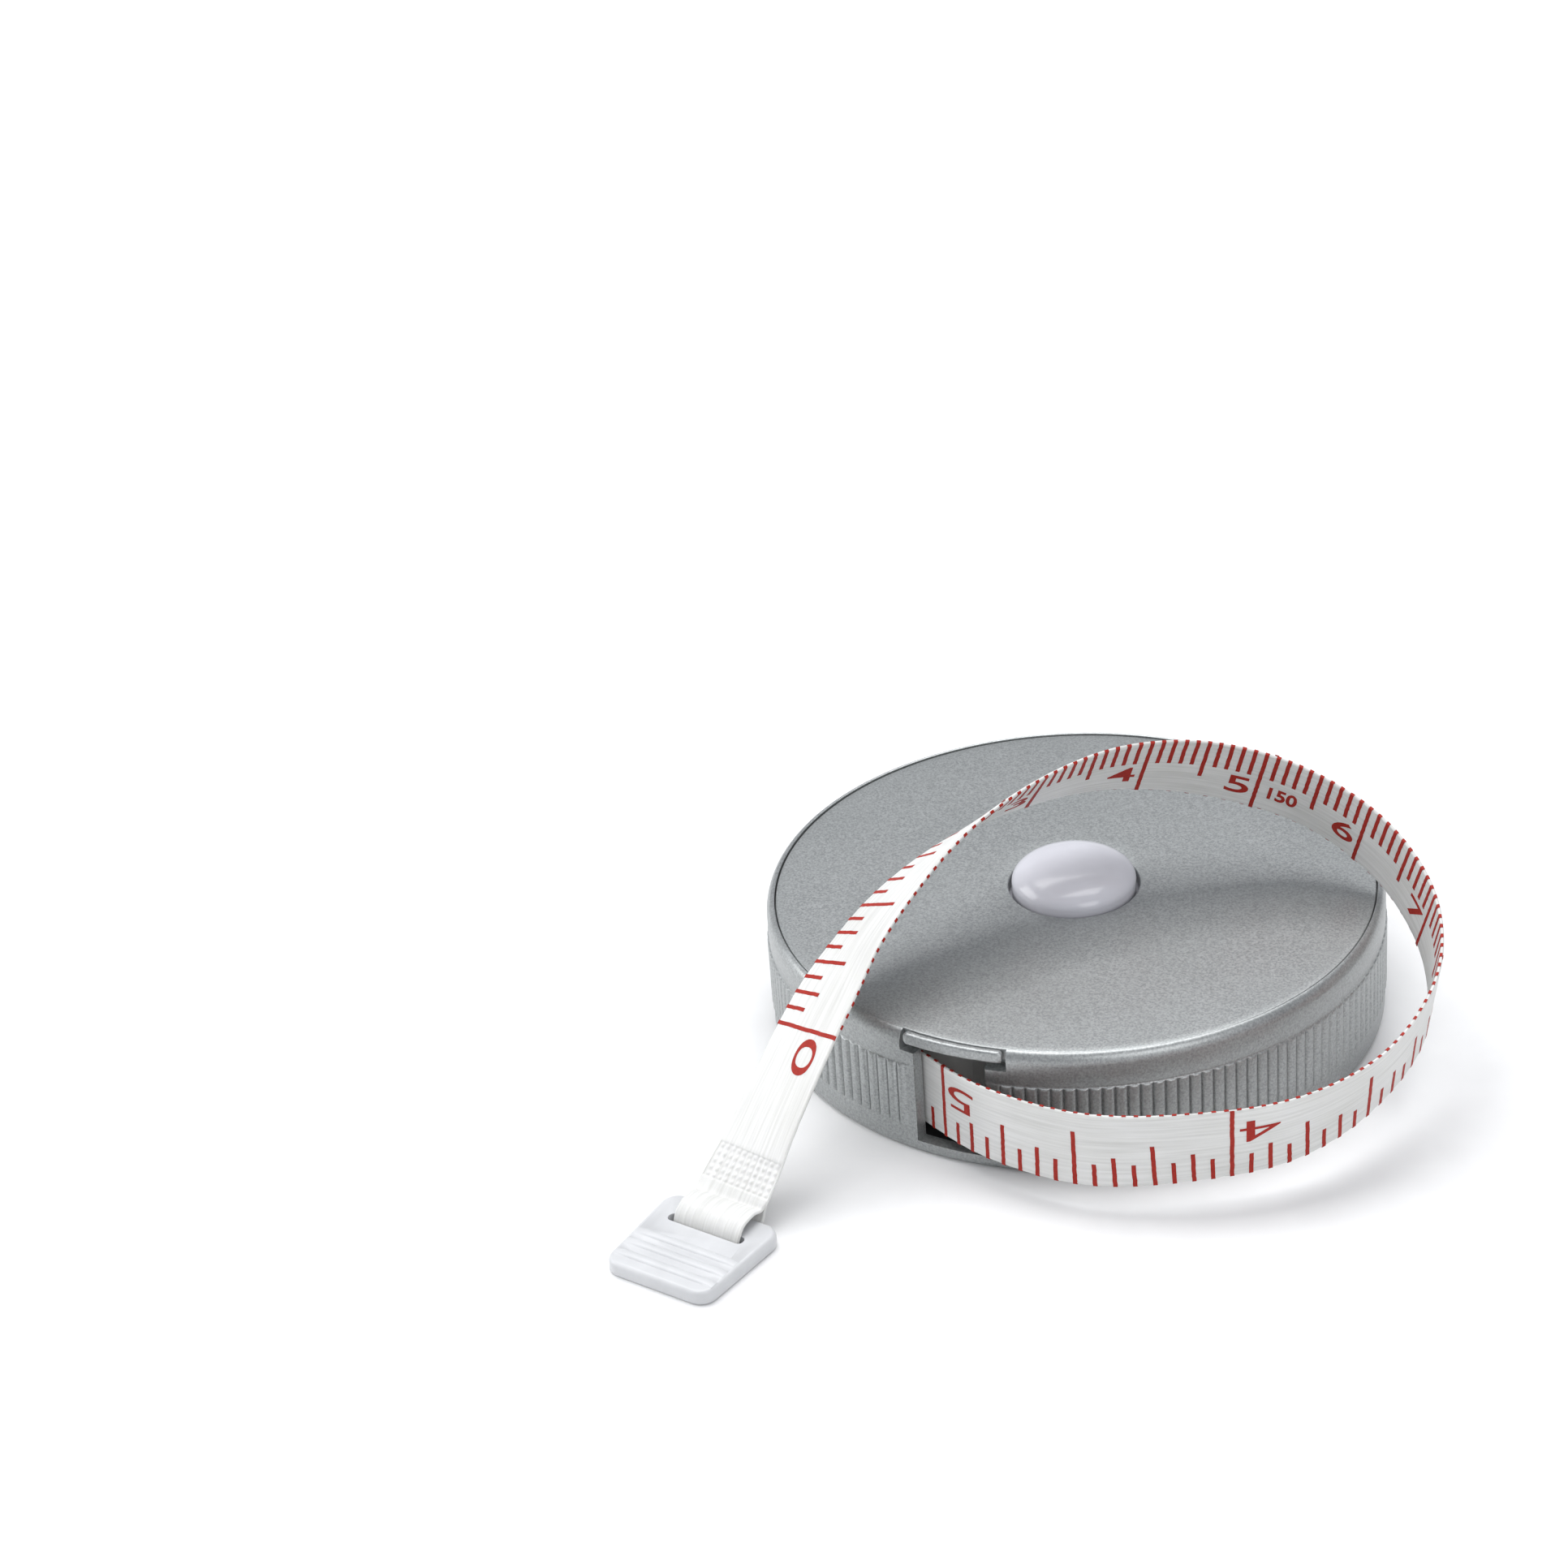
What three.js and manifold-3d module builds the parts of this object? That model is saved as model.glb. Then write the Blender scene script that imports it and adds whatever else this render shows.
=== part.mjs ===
// Pocket tape measure with a push-button brake: a round ribbed case, a spring reel and a coated tape.
// Millimetres. The origin is the centre of the case's underside, +Z points out through the button,
// and the tape's mouth faces -Y.
import * as THREE from "three";
import { mergeVertices } from "three/addons/utils/BufferGeometryUtils.js";
import Module from "manifold-3d";

const wasm = await Module();
wasm.setup();

// ---------------------------------------------------------------- driving sizes
// case
const CASE_DIAMETER = 53.4;
const CASE_HEIGHT = 11.7;
const WALL = 1.2;
const FLOOR = 1.0;
const EDGE_RADIUS = 1.1;
const FOOT_RADIUS = 0.7;
const RIB_COUNT = 160;
const RIB_HEIGHT = 0.28;
const RIB_BAND_FROM = 2.4;
const RIB_BAND_TO = 8.5;
// mouth and the notch above it, as angles about the case's axis
const MOUTH_FROM = -97.2;
const MOUTH_TO = -83.8;
const MOUTH_SILL = 1.25;
const NOTCH_FROM = -100.1;
const NOTCH_TO = -79.8;
const NOTCH_DEPTH = 1.8;
// cover
const COVER_THICKNESS = 1.1;
const RIM_WIDTH = 0.85;
const SKIRT_DEPTH = 0.6;
const SKIRT_WIDTH = 0.7;
const LIP_WIDTH = 0.75;
const LIP_GROOVE = 0.5;
const LIP_GROOVE_DEPTH = 0.45;
// button, stem and brake
const BUTTON_DIAMETER = 10.7;
const BUTTON_PROUD = 2.3;
const BUTTON_TRAVEL = 0.8;
const BUTTON_FLANGE = 0.95;
const BUTTON_FLANGE_THICKNESS = 0.45;
const BUTTON_SHOULDER = 1.0;
const STEM_DIAMETER = 2.4;
const BRAKE_PLATE_INNER = 13.0;
const BRAKE_PLATE_OUTER = 26.0;
const BRAKE_ARM_WIDTH = 1.6;
const BRAKE_PLATE_THICKNESS = 0.4;
const BRAKE_RING_THICKNESS = 0.45;
const BRAKE_RING_WIDTH = 2.6;
// post
const POST_DIAMETER = 6.4;
const POST_BASE_DIAMETER = 8.4;
const POST_BORE = 4.4;
const RETURN_WIRE = 0.4;
const RETURN_TURNS = 6;
const CIRCLIP_WIDTH = 0.95;
const CIRCLIP_THICKNESS = 0.2;
// reel
const WEB_THICKNESS = 0.5;
const BUSH_WALL = 0.8;
const BUSH_PROUD = 0.6;
const DRUM_DIAMETER = 38.6;
const DRUM_WALL = 1.4;
const FLANGE_DIAMETER = 46.8;
const FLANGE_THICKNESS = 0.5;
const PEG_DIAMETER = 0.8;
const PEG_COUNT = 3;
const PEG_DEPTH = 1.9;
const POWER_STRIP = 0.25;
const POWER_TURNS = 7;
const POWER_PITCH = 0.5;
const ANCHOR_FROM = 168;
const ANCHOR_TO = 174;
const ANCHOR_DEPTH = 1.0;
// tape
const TAPE_WIDTH = 7.0;
const TAPE_THICKNESS = 0.3;
const TAPE_LENGTH = 1500;
const TAPE_OUT = 148;
// end tab
const TAB_LENGTH = 10.5;
const TAB_WIDTH = 11.0;
const TAB_TIP_WIDTH = 10.2;
const TAB_THICKNESS = 1.3;
const TAB_BAR = 2.6;
const TAB_BAR_LIFT = 0.5;
const TAB_SLOT = 0.9;
const TAB_CORNER = 1.4;
const TAB_HEADING = -98;
const TAB_RIDGES = [1.6, 3.15, 4.7];
const TAB_RIDGE_RADIUS = 0.5;
const TAB_RIDGE_HEIGHT = 0.18;
const END_NARROWING = 0.5;
const LOOP_RISE = 0.6;
const LOOP_LEAD = 0.9;
// clearances
const FIT_GAP = 0.1;
const RUN_GAP = 0.3;
const JOIN_GAP = 0.3;

// ---------------------------------------------------------------- places worked out from them
const caseR = CASE_DIAMETER / 2;
const innerR = caseR - WALL;
const seatR = caseR - RIM_WIDTH;
const coverR = seatR - FIT_GAP;
const coverTop = CASE_HEIGHT - 0.05;
const coverUnder = CASE_HEIGHT - COVER_THICKNESS;
const seatZ = coverUnder - 0.05;
const notchZ = CASE_HEIGHT - NOTCH_DEPTH;
const buttonR = BUTTON_DIAMETER / 2;
const holeR = buttonR + RUN_GAP;
const plateZ = FLOOR + BUTTON_TRAVEL + 0.15;
const ringZ = plateZ + BRAKE_PLATE_THICKNESS + 0.05;
const webZ = ringZ + BRAKE_RING_THICKNESS + FIT_GAP;
const shoulderZ = webZ - FIT_GAP;
const tapeZ = MOUTH_SILL + 0.8;
const tapeMidZ = tapeZ + TAPE_WIDTH / 2;
const tapeTop = tapeZ + TAPE_WIDTH;
const lowerFlangeTop = tapeZ - 0.25;
const upperFlangeZ = tapeTop + 0.25;
const upperFlangeTop = upperFlangeZ + FLANGE_THICKNESS;
const flangeZ = coverUnder - 0.15 - BUTTON_FLANGE_THICKNESS;
const postR = POST_DIAMETER / 2;
const postBaseR = POST_BASE_DIAMETER / 2;
const postTop = flangeZ - BUTTON_TRAVEL - 0.35;
const returnSeatZ = webZ + 1.0;
const powerSpringZ = webZ + WEB_THICKNESS + 1.15;
const stemR = STEM_DIAMETER / 2;
const drumR = DRUM_DIAMETER / 2;
const drumInnerR = drumR - DRUM_WALL;
const flangeR = FLANGE_DIAMETER / 2;
const rollInnerR = drumR + FIT_GAP;
const woundLength = TAPE_LENGTH - TAPE_OUT;
const rollOuterR = Math.sqrt(rollInnerR ** 2 + (woundLength * TAPE_THICKNESS) / Math.PI);

// The free tape's middle line from the mouth to the tab: x, y, z and its lean from upright in degrees.
const TAPE_ROUTE = [
  [-4.5, -24.2, 5.6, 0],
  [3, -27.5, 5.6, 0],
  [12, -28.3, 5.6, 0],
  [20.5, -25.5, 6, 5],
  [27.5, -20.5, 6.3, 10],
  [32, -13.5, 7.5, 15],
  [33.5, -5, 9.8, 10],
  [31, 2, 12.7, 5],
  [25.5, 6.7, 16, -5],
  [18, 8.4, 19, -15],
  [10, 6.5, 21.3, -20],
  [3.5, 2.3, 22.5, -30],
  [-1.5, -3, 22.3, -40],
  [-5.5, -9.5, 21.3, -50],
  [-8.5, -16, 19, -60],
  [-10.2, -22, 16.4, -65],
  [-11.3, -28, 12.8, -75],
  [-12.5, -33.5, 8, -80],
  [-13.4, -37.1, 4.3, -86],
  [-13.9, -39.6, 2.3, -90],
];
const TAPE_STEPS = 60;

// ---------------------------------------------------------------- materials
const paint = (color, roughness, metalness) => new THREE.MeshStandardMaterial({ color, roughness, metalness });
const silver = () => paint(0xa9aeae, 0.42, 0.55);
const white = () => paint(0xeeeef2, 0.3, 0);
const coated = () => paint(0xe9eae7, 0.5, 0);
const steel = () => paint(0xb8babd, 0.3, 1);
const nylon = () => paint(0xd8d6cf, 0.55, 0);
const rubber = () => paint(0x252525, 0.85, 0);
const brass = () => paint(0xb79a5a, 0.35, 1);

// ---------------------------------------------------------------- solid helpers
function toSolid(geometry) {
  const bare = geometry.index ? geometry.toNonIndexed() : geometry.clone();
  bare.deleteAttribute("normal");
  bare.deleteAttribute("uv");
  const merged = mergeVertices(bare, 1e-4);
  const vertProperties = new Float32Array(merged.attributes.position.array);
  const triVerts = new Uint32Array(merged.index.array);
  return new wasm.Manifold(new wasm.Mesh({ numProp: 3, vertProperties, triVerts }));
}

function toGeometry(solid) {
  const mesh = solid.getMesh();
  const geometry = new THREE.BufferGeometry();
  geometry.setAttribute("position", new THREE.BufferAttribute(new Float32Array(mesh.vertProperties), 3));
  geometry.setIndex(new THREE.BufferAttribute(new Uint32Array(mesh.triVerts), 1));
  geometry.computeVertexNormals();
  return geometry;
}

const radians = (degrees) => (degrees * Math.PI) / 180;

// A ring or disc turned about Z from [radius, height] pairs that run up the outside and down the inside.
function turned(profile, segments = 64) {
  const points = profile.map(([r, z]) => new THREE.Vector2(r, z));
  if (profile[0][0] > 0) points.push(points[0].clone());
  const geometry = new THREE.LatheGeometry(points, segments);
  geometry.rotateX(Math.PI / 2);
  return geometry;
}

const ring = (inner, outer, low, high, segments = 64) =>
  turned([[outer, low], [outer, high], [inner, high], [inner, low]], segments);

const disc = (radius, low, high, segments = 64) => turned([[0, low], [radius, low], [radius, high], [0, high]], segments);

// A block between two radii, two angles and two heights.
function sector(inner, outer, from, to, low, high, steps = 12) {
  const shape = new THREE.Shape();
  const angles = [...Array(steps + 1).keys()].map((i) => radians(from + ((to - from) * i) / steps));
  shape.moveTo(outer * Math.cos(angles[0]), outer * Math.sin(angles[0]));
  for (const a of angles.slice(1)) shape.lineTo(outer * Math.cos(a), outer * Math.sin(a));
  for (const a of angles.slice().reverse()) shape.lineTo(inner * Math.cos(a), inner * Math.sin(a));
  const geometry = new THREE.ExtrudeGeometry(shape, { depth: high - low, bevelEnabled: false });
  geometry.translate(0, 0, low);
  return geometry;
}

function block(x, y, z, sx, sy, sz) {
  const geometry = new THREE.BoxGeometry(sx, sy, sz);
  geometry.translate(x, y, z);
  return geometry;
}

const round = (centreR, centreZ, rx, rz, from, to, steps = 4) =>
  [...Array(steps + 1).keys()].map((i) => {
    const a = radians(from + ((to - from) * i) / steps);
    return [centreR + rx * Math.cos(a), centreZ + rz * Math.sin(a)];
  });

function piece(name, geometry, material) {
  const mesh = new THREE.Mesh(geometry, material);
  mesh.name = name;
  return mesh;
}

// ---------------------------------------------------------------- case and cover
function ribbedBand() {
  const shape = new THREE.Shape();
  const pitch = (2 * Math.PI) / RIB_COUNT;
  const rootR = caseR - RIB_HEIGHT;
  const corners = [[0, rootR], [0.2, caseR], [0.8, caseR]];
  for (let i = 0; i < RIB_COUNT; i += 1) {
    for (const [share, r] of corners) {
      const a = (i + share) * pitch;
      if (i === 0 && share === corners[0][0]) shape.moveTo(r * Math.cos(a), r * Math.sin(a));
      else shape.lineTo(r * Math.cos(a), r * Math.sin(a));
    }
  }
  const bore = new THREE.Path();
  bore.absarc(0, 0, innerR, 0, 2 * Math.PI, true);
  shape.holes.push(bore);
  const geometry = new THREE.ExtrudeGeometry(shape, {
    depth: RIB_BAND_TO - RIB_BAND_FROM,
    bevelEnabled: false,
    curveSegments: 40,
  });
  geometry.translate(0, 0, RIB_BAND_FROM);
  return geometry;
}

function caseBody() {
  const backR = caseR - RIB_HEIGHT - (caseR - RIB_HEIGHT - innerR) / 2;
  const topEdge = round(seatR + 0.02, CASE_HEIGHT - EDGE_RADIUS, RIM_WIDTH - 0.02, EDGE_RADIUS, 0, 90, 3);
  const footEdge = round(caseR - FOOT_RADIUS, FOOT_RADIUS, FOOT_RADIUS, FOOT_RADIUS, -90, 0, 2);
  const cup = turned(
    [
      [0, 0],
      ...footEdge,
      [caseR, RIB_BAND_FROM],
      [backR, RIB_BAND_FROM],
      [backR, RIB_BAND_TO],
      [caseR, RIB_BAND_TO],
      ...topEdge,
      [seatR, CASE_HEIGHT - 0.1],
      [seatR, seatZ],
      [innerR, seatZ],
      [innerR, FLOOR],
      [0, FLOOR],
    ],
    80,
  );
  const mouth = sector(innerR - 1, caseR + 1, MOUTH_FROM, MOUTH_TO, MOUTH_SILL, CASE_HEIGHT + 1);
  const notch = sector(innerR - 0.5, caseR + 1, NOTCH_FROM, NOTCH_TO, notchZ, CASE_HEIGHT + 1);
  const body = toSolid(cup).add(toSolid(ribbedBand())).subtract(toSolid(mouth)).subtract(toSolid(notch));
  return piece("case_body", toGeometry(body), silver());
}

function topCover() {
  const skirtOuter = innerR - FIT_GAP;
  const skirtInner = skirtOuter - SKIRT_WIDTH;
  const plate = turned(
    [
      [holeR, coverUnder],
      [holeR, coverTop - 0.15],
      [holeR + 0.15, coverTop],
      [coverR - 0.15, coverTop],
      [coverR, coverTop - 0.15],
      [coverR, coverUnder],
      [skirtOuter, coverUnder],
      [skirtOuter, coverUnder - SKIRT_DEPTH],
      [skirtInner, coverUnder - SKIRT_DEPTH],
      [skirtInner, coverUnder],
    ].reverse(),
    80,
  );
  const sideGap = (FIT_GAP + 0.2) / radians(caseR);
  const lipInner = caseR - LIP_WIDTH;
  const from = NOTCH_FROM + sideGap;
  const to = NOTCH_TO - sideGap;
  const lip = sector(coverR - 0.5, caseR - 0.03, from, to, coverUnder, coverTop, 16);
  const groove = sector(lipInner - LIP_GROOVE, lipInner, from - 1, to + 1, coverTop - LIP_GROOVE_DEPTH, CASE_HEIGHT + 1, 16);
  const cover = toSolid(plate).add(toSolid(lip)).subtract(toSolid(groove));
  return piece("top_cover", toGeometry(cover), silver());
}

// ---------------------------------------------------------------- post and springs
function arborPost() {
  const guideR = stemR + FIT_GAP;
  const boreR = POST_BORE / 2;
  const body = turned([
    [postBaseR, FLOOR + 0.05],
    [postBaseR, shoulderZ],
    [postR, shoulderZ],
    [postR, postTop],
    [boreR, postTop],
    [boreR, returnSeatZ],
    [guideR, returnSeatZ],
    [guideR, FLOOR + 0.05],
  ], 32);
  const slotTop = plateZ + BRAKE_PLATE_THICKNESS + FIT_GAP;
  const slotWidth = BRAKE_ARM_WIDTH + 2 * FIT_GAP;
  const slotLow = FLOOR - 1;
  const height = slotTop - slotLow;
  const midZ = (slotTop + slotLow) / 2;
  const slotX = block(0, 0, midZ, 4 * postBaseR, slotWidth, height);
  const hookLow = powerSpringZ - 2 * FIT_GAP;
  const hookSlot = block(postR - 0.35, 0, (hookLow + postTop + 1) / 2, 0.75, 0.7, postTop + 1 - hookLow);
  const post = toSolid(body).subtract(toSolid(slotX)).subtract(toSolid(hookSlot));
  return piece("arbor_post", toGeometry(post), nylon());
}

function postCirclip() {
  const low = webZ + WEB_THICKNESS + BUSH_PROUD + 0.15;
  const geometry = ring(postR + FIT_GAP, postR + CIRCLIP_WIDTH, low, low + CIRCLIP_THICKNESS, 32);
  return piece("post_circlip", geometry, steel());
}

function returnSpring() {
  const low = returnSeatZ + RETURN_WIRE / 2 + 0.05;
  const high = flangeZ - RETURN_WIRE / 2 - 0.05;
  const radius = (POST_BORE / 2 + stemR) / 2;
  const steps = RETURN_TURNS * 12;
  const points = [...Array(steps + 1).keys()].map((i) => {
    const a = (2 * Math.PI * RETURN_TURNS * i) / steps;
    return new THREE.Vector3(radius * Math.cos(a), radius * Math.sin(a), low + ((high - low) * i) / steps);
  });
  const shape = new THREE.Shape();
  shape.absarc(0, 0, RETURN_WIRE / 2, 0, 2 * Math.PI, false);
  const geometry = new THREE.ExtrudeGeometry(shape, {
    extrudePath: new THREE.CatmullRomCurve3(points),
    steps,
    curveSegments: 3,
    bevelEnabled: false,
  });
  return piece("return_spring", geometry, steel());
}

// A strip spring: a hook in the post's slot, a loose way out, then turns that lie against the drum.
function powerSpring() {
  const outerR = drumInnerR - RUN_GAP - POWER_STRIP;
  const wallTurns = POWER_TURNS - 2;
  const innerTurnR = outerR - wallTurns * POWER_PITCH;
  const hookR = postR - 0.45;
  const middle = [[hookR, 0], [postR + 0.6, 0]];
  const perTurn = 22;
  for (let i = 1; i <= POWER_TURNS * perTurn; i += 1) {
    const turn = i / perTurn;
    const loose = postR + 0.9 + (innerTurnR - postR - 0.9) * (turn / 2) ** 2;
    const r = turn < 2 ? loose : innerTurnR + (turn - 2) * POWER_PITCH;
    middle.push([r * Math.cos(2 * Math.PI * turn), r * Math.sin(2 * Math.PI * turn)]);
  }
  const half = POWER_STRIP / 2;
  const side = (sign) =>
    middle.map(([x, y], i) => {
      const [ax, ay] = middle[Math.max(i - 1, 0)];
      const [bx, by] = middle[Math.min(i + 1, middle.length - 1)];
      const length = Math.hypot(bx - ax, by - ay);
      return new THREE.Vector2(x - (sign * half * (by - ay)) / length, y + (sign * half * (bx - ax)) / length);
    });
  const shape = new THREE.Shape([...side(-1), ...side(1).reverse()]);
  const depth = tapeTop - 0.3 - powerSpringZ;
  const geometry = new THREE.ExtrudeGeometry(shape, { depth, bevelEnabled: false });
  geometry.translate(0, 0, powerSpringZ);
  return piece("power_spring", geometry, steel());
}

// ---------------------------------------------------------------- button and brake
function buttonCap() {
  const top = CASE_HEIGHT + BUTTON_PROUD;
  const shoulder = CASE_HEIGHT + BUTTON_SHOULDER;
  const profile = [
    [0, flangeZ],
    [buttonR + BUTTON_FLANGE, flangeZ],
    [buttonR + BUTTON_FLANGE, flangeZ + BUTTON_FLANGE_THICKNESS],
    [buttonR, flangeZ + BUTTON_FLANGE_THICKNESS],
    ...round(0, shoulder, buttonR, top - shoulder, 0, 90, 7),
  ];
  return piece("button_cap", turned(profile, 48), white());
}

function buttonStem() {
  const low = plateZ + BRAKE_PLATE_THICKNESS + 0.05;
  return piece("button_stem", disc(stemR, low, flangeZ - 0.05, 24), steel());
}

function brakePlate() {
  const plate = ring(BRAKE_PLATE_INNER / 2, BRAKE_PLATE_OUTER / 2, plateZ, plateZ + BRAKE_PLATE_THICKNESS, 48);
  const midZ = plateZ + BRAKE_PLATE_THICKNESS / 2;
  const arm = block(0, 0, midZ, BRAKE_PLATE_INNER + 1, BRAKE_ARM_WIDTH, BRAKE_PLATE_THICKNESS);
  return piece("brake_plate", toGeometry(toSolid(plate).add(toSolid(arm))), steel());
}

function brakeRing() {
  const outer = BRAKE_PLATE_OUTER / 2 - 0.3;
  return piece("brake_ring", ring(outer - BRAKE_RING_WIDTH, outer, ringZ, ringZ + BRAKE_RING_THICKNESS, 48), rubber());
}

// ---------------------------------------------------------------- reel and wound tape
const pegRadiusAt = drumR - DRUM_WALL / 2;
const pegAngles = [...Array(PEG_COUNT).keys()].map((i) => (360 * i) / PEG_COUNT + 30);

function pegHoles(low, high) {
  return pegAngles.map((a) => {
    const hole = disc(PEG_DIAMETER / 2 + FIT_GAP, low, high, 12);
    hole.translate(pegRadiusAt * Math.cos(radians(a)), pegRadiusAt * Math.sin(radians(a)), 0);
    return toSolid(hole);
  });
}

function reelDrum() {
  const bushR = postR + RUN_GAP / 2 + BUSH_WALL;
  const drumTop = upperFlangeZ - FIT_GAP;
  let body = toSolid(turned([
    [bushR + FIT_GAP, webZ],
    [drumInnerR, webZ],
    [drumInnerR, lowerFlangeTop - FLANGE_THICKNESS],
    [flangeR, lowerFlangeTop - FLANGE_THICKNESS],
    [flangeR, lowerFlangeTop],
    [drumR, lowerFlangeTop],
    [drumR, drumTop],
    [drumInnerR, drumTop],
    [drumInnerR, webZ + WEB_THICKNESS],
    [bushR + FIT_GAP, webZ + WEB_THICKNESS],
  ], 64));
  for (const hole of pegHoles(drumTop - PEG_DEPTH - FIT_GAP, drumTop + 1)) body = body.subtract(hole);
  const anchorSlot = sector(drumR - ANCHOR_DEPTH, drumR + 1, ANCHOR_FROM, ANCHOR_TO, tapeZ, drumTop + 1, 2);
  return piece("reel_drum", toGeometry(body.subtract(toSolid(anchorSlot))), nylon());
}

function reelBush() {
  const inner = postR + 0.1;
  const outer = postR + RUN_GAP / 2 + BUSH_WALL;
  return piece("reel_bush", ring(inner, outer, webZ, webZ + WEB_THICKNESS + BUSH_PROUD, 32), brass());
}

function reelLid() {
  const clearR = buttonR + BUTTON_FLANGE + 0.5;
  let body = toSolid(ring(clearR, flangeR, upperFlangeZ, upperFlangeTop, 64));
  for (const hole of pegHoles(upperFlangeZ - 1, upperFlangeTop + 1)) body = body.subtract(hole);
  return piece("reel_lid", toGeometry(body), nylon());
}

function reelPegs() {
  const low = upperFlangeZ - FIT_GAP - PEG_DEPTH;
  return pegAngles.map((a, i) => {
    const geometry = disc(PEG_DIAMETER / 2, low, upperFlangeTop, 10);
    geometry.translate(pegRadiusAt * Math.cos(radians(a)), pegRadiusAt * Math.sin(radians(a)), 0);
    return piece(`reel_peg_${i + 1}`, geometry, nylon());
  });
}

function tapeAnchor() {
  const geometry = sector(drumR - ANCHOR_DEPTH + FIT_GAP, drumR, ANCHOR_FROM + 0.6, ANCHOR_TO - 0.6, tapeZ + FIT_GAP, tapeTop, 2);
  return piece("tape_anchor", geometry, steel());
}

function tapeRoll() {
  return piece("tape_roll", ring(rollInnerR, rollOuterR, tapeZ, tapeTop, 72), coated());
}

// ---------------------------------------------------------------- free tape
const routePoints = TAPE_ROUTE.map(([x, y, z]) => new THREE.Vector3(x, y, z));
const routeCurve = new THREE.CatmullRomCurve3(routePoints, false, "centripetal");
const up = new THREE.Vector3(0, 0, 1);

function leanAt(t) {
  const last = TAPE_ROUTE.length - 1;
  const i = Math.min(Math.floor(t * last), last - 1);
  const f = t * last - i;
  return TAPE_ROUTE[i][3] * (1 - f) + TAPE_ROUTE[i + 1][3] * f;
}

// The point, the direction across the tape and the direction out of its face at t along the route.
function tapeFrame(t) {
  const point = routeCurve.getPoint(t);
  const along = routeCurve.getTangent(t);
  const rise = up.clone().addScaledVector(along, -up.dot(along)).normalize();
  const side = along.clone().cross(rise);
  const lean = radians(leanAt(t));
  const across = rise.multiplyScalar(Math.cos(lean)).addScaledVector(side, Math.sin(lean));
  const face = along.clone().cross(across).normalize();
  return { point, across, face };
}

// A flat strip bent so that its length follows frame(share), for a share from 0 to 1.
function strip(width, thickness, steps, frame) {
  const geometry = new THREE.BoxGeometry(width, thickness, 1, 1, 1, steps);
  const position = geometry.attributes.position;
  for (let i = 0; i < position.count; i += 1) {
    const { point, across, face } = frame(position.getZ(i) + 0.5);
    const place = point.clone().addScaledVector(across, position.getX(i)).addScaledVector(face, position.getY(i));
    position.setXYZ(i, place.x, place.y, place.z);
  }
  return toGeometry(toSolid(geometry));
}

function tapeFree() {
  return piece("tape_free", strip(TAPE_WIDTH, TAPE_THICKNESS, TAPE_STEPS, tapeFrame), coated());
}

// From just off the roll to the mouth, in line with the free tape's first stretch.
function tapeInnerRun() {
  const { point, across, face } = tapeFrame(0);
  const along = routeCurve.getTangent(0).setZ(0).normalize();
  const end = point.clone().addScaledVector(along, -JOIN_GAP);
  const foot = -end.dot(along);
  const start = end.clone().addScaledVector(along, foot + 0.5).setZ(end.z);
  const frame = (share) => ({ point: start.clone().lerp(end, share), across, face });
  return piece("tape_inner_run", strip(TAPE_WIDTH, TAPE_THICKNESS, 1, frame), coated());
}

// ---------------------------------------------------------------- tape end and tab
// Local axes: u runs along the tab away from the tape, v across it, and z up from the surface.
const tabAxis = new THREE.Vector3(Math.cos(radians(TAB_HEADING)), Math.sin(radians(TAB_HEADING)), 0);
const tabAcross = up.clone().cross(tabAxis);
const lastPoint = routePoints[routePoints.length - 1];
const tabEdge = lastPoint.clone().setZ(0).addScaledVector(tabAxis, LOOP_LEAD);

function fromTab(u, v, z) {
  return tabEdge.clone().addScaledVector(tabAxis, u).addScaledVector(tabAcross, v).setZ(z);
}

function placeOnTab(geometry, uvz) {
  const position = geometry.attributes.position;
  for (let i = 0; i < position.count; i += 1) {
    const [u, v, z] = uvz(position.getX(i), position.getY(i), position.getZ(i));
    const place = fromTab(u, v, z);
    position.setXYZ(i, place.x, place.y, place.z);
  }
  geometry.computeVertexNormals();
  return geometry;
}

// The doubled end: over the tab's bar, down through the slot and back under the bar.
function tapeEndLoop() {
  const half = TAPE_THICKNESS / 2;
  const over = TAB_THICKNESS + LOOP_RISE + half;
  const under = half + 0.05;
  const front = TAB_BAR + TAB_SLOT / 2;
  const middle = [
    [-0.2, over + 0.03],
    [front - 1.9, over],
    [front - 1.05, over - 0.07],
    [front - 0.5, over - 0.33],
    [front - 0.15, over - 0.75],
    [front, (over + under) / 2 - 0.3],
    [front - 0.16, under + 0.2],
    [front - 0.6, under],
    [0.1, under],
    [-0.6, under + 0.45],
  ];
  const side = (sign) =>
    middle.map(([u, z], i) => {
      const [au, az] = middle[Math.max(i - 1, 0)];
      const [bu, bz] = middle[Math.min(i + 1, middle.length - 1)];
      const length = Math.hypot(bu - au, bz - az);
      return new THREE.Vector2(u - (sign * half * (bz - az)) / length, z + (sign * half * (bu - au)) / length);
    });
  const width = TAPE_WIDTH - END_NARROWING;
  const shape = new THREE.Shape([...side(1), ...side(-1).reverse()]);
  const geometry = new THREE.ExtrudeGeometry(shape, { depth: width, bevelEnabled: false });
  placeOnTab(geometry, (x, y, z) => [x, width / 2 - z, y]);
  return piece("tape_end_loop", geometry, coated());
}

// The returned end of the tape, heat-welded to the underside of the last stretch.
function tapeEndWeld() {
  const offset = -(TAPE_THICKNESS + 0.15);
  const frame = (share) => {
    const { point, across, face } = tapeFrame(0.945 + 0.035 * share);
    return { point: point.clone().addScaledVector(face, face.z > 0 ? offset : -offset), across, face };
  };
  return piece("tape_end_weld", strip(TAPE_WIDTH - END_NARROWING, TAPE_THICKNESS, 4, frame), coated());
}

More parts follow.
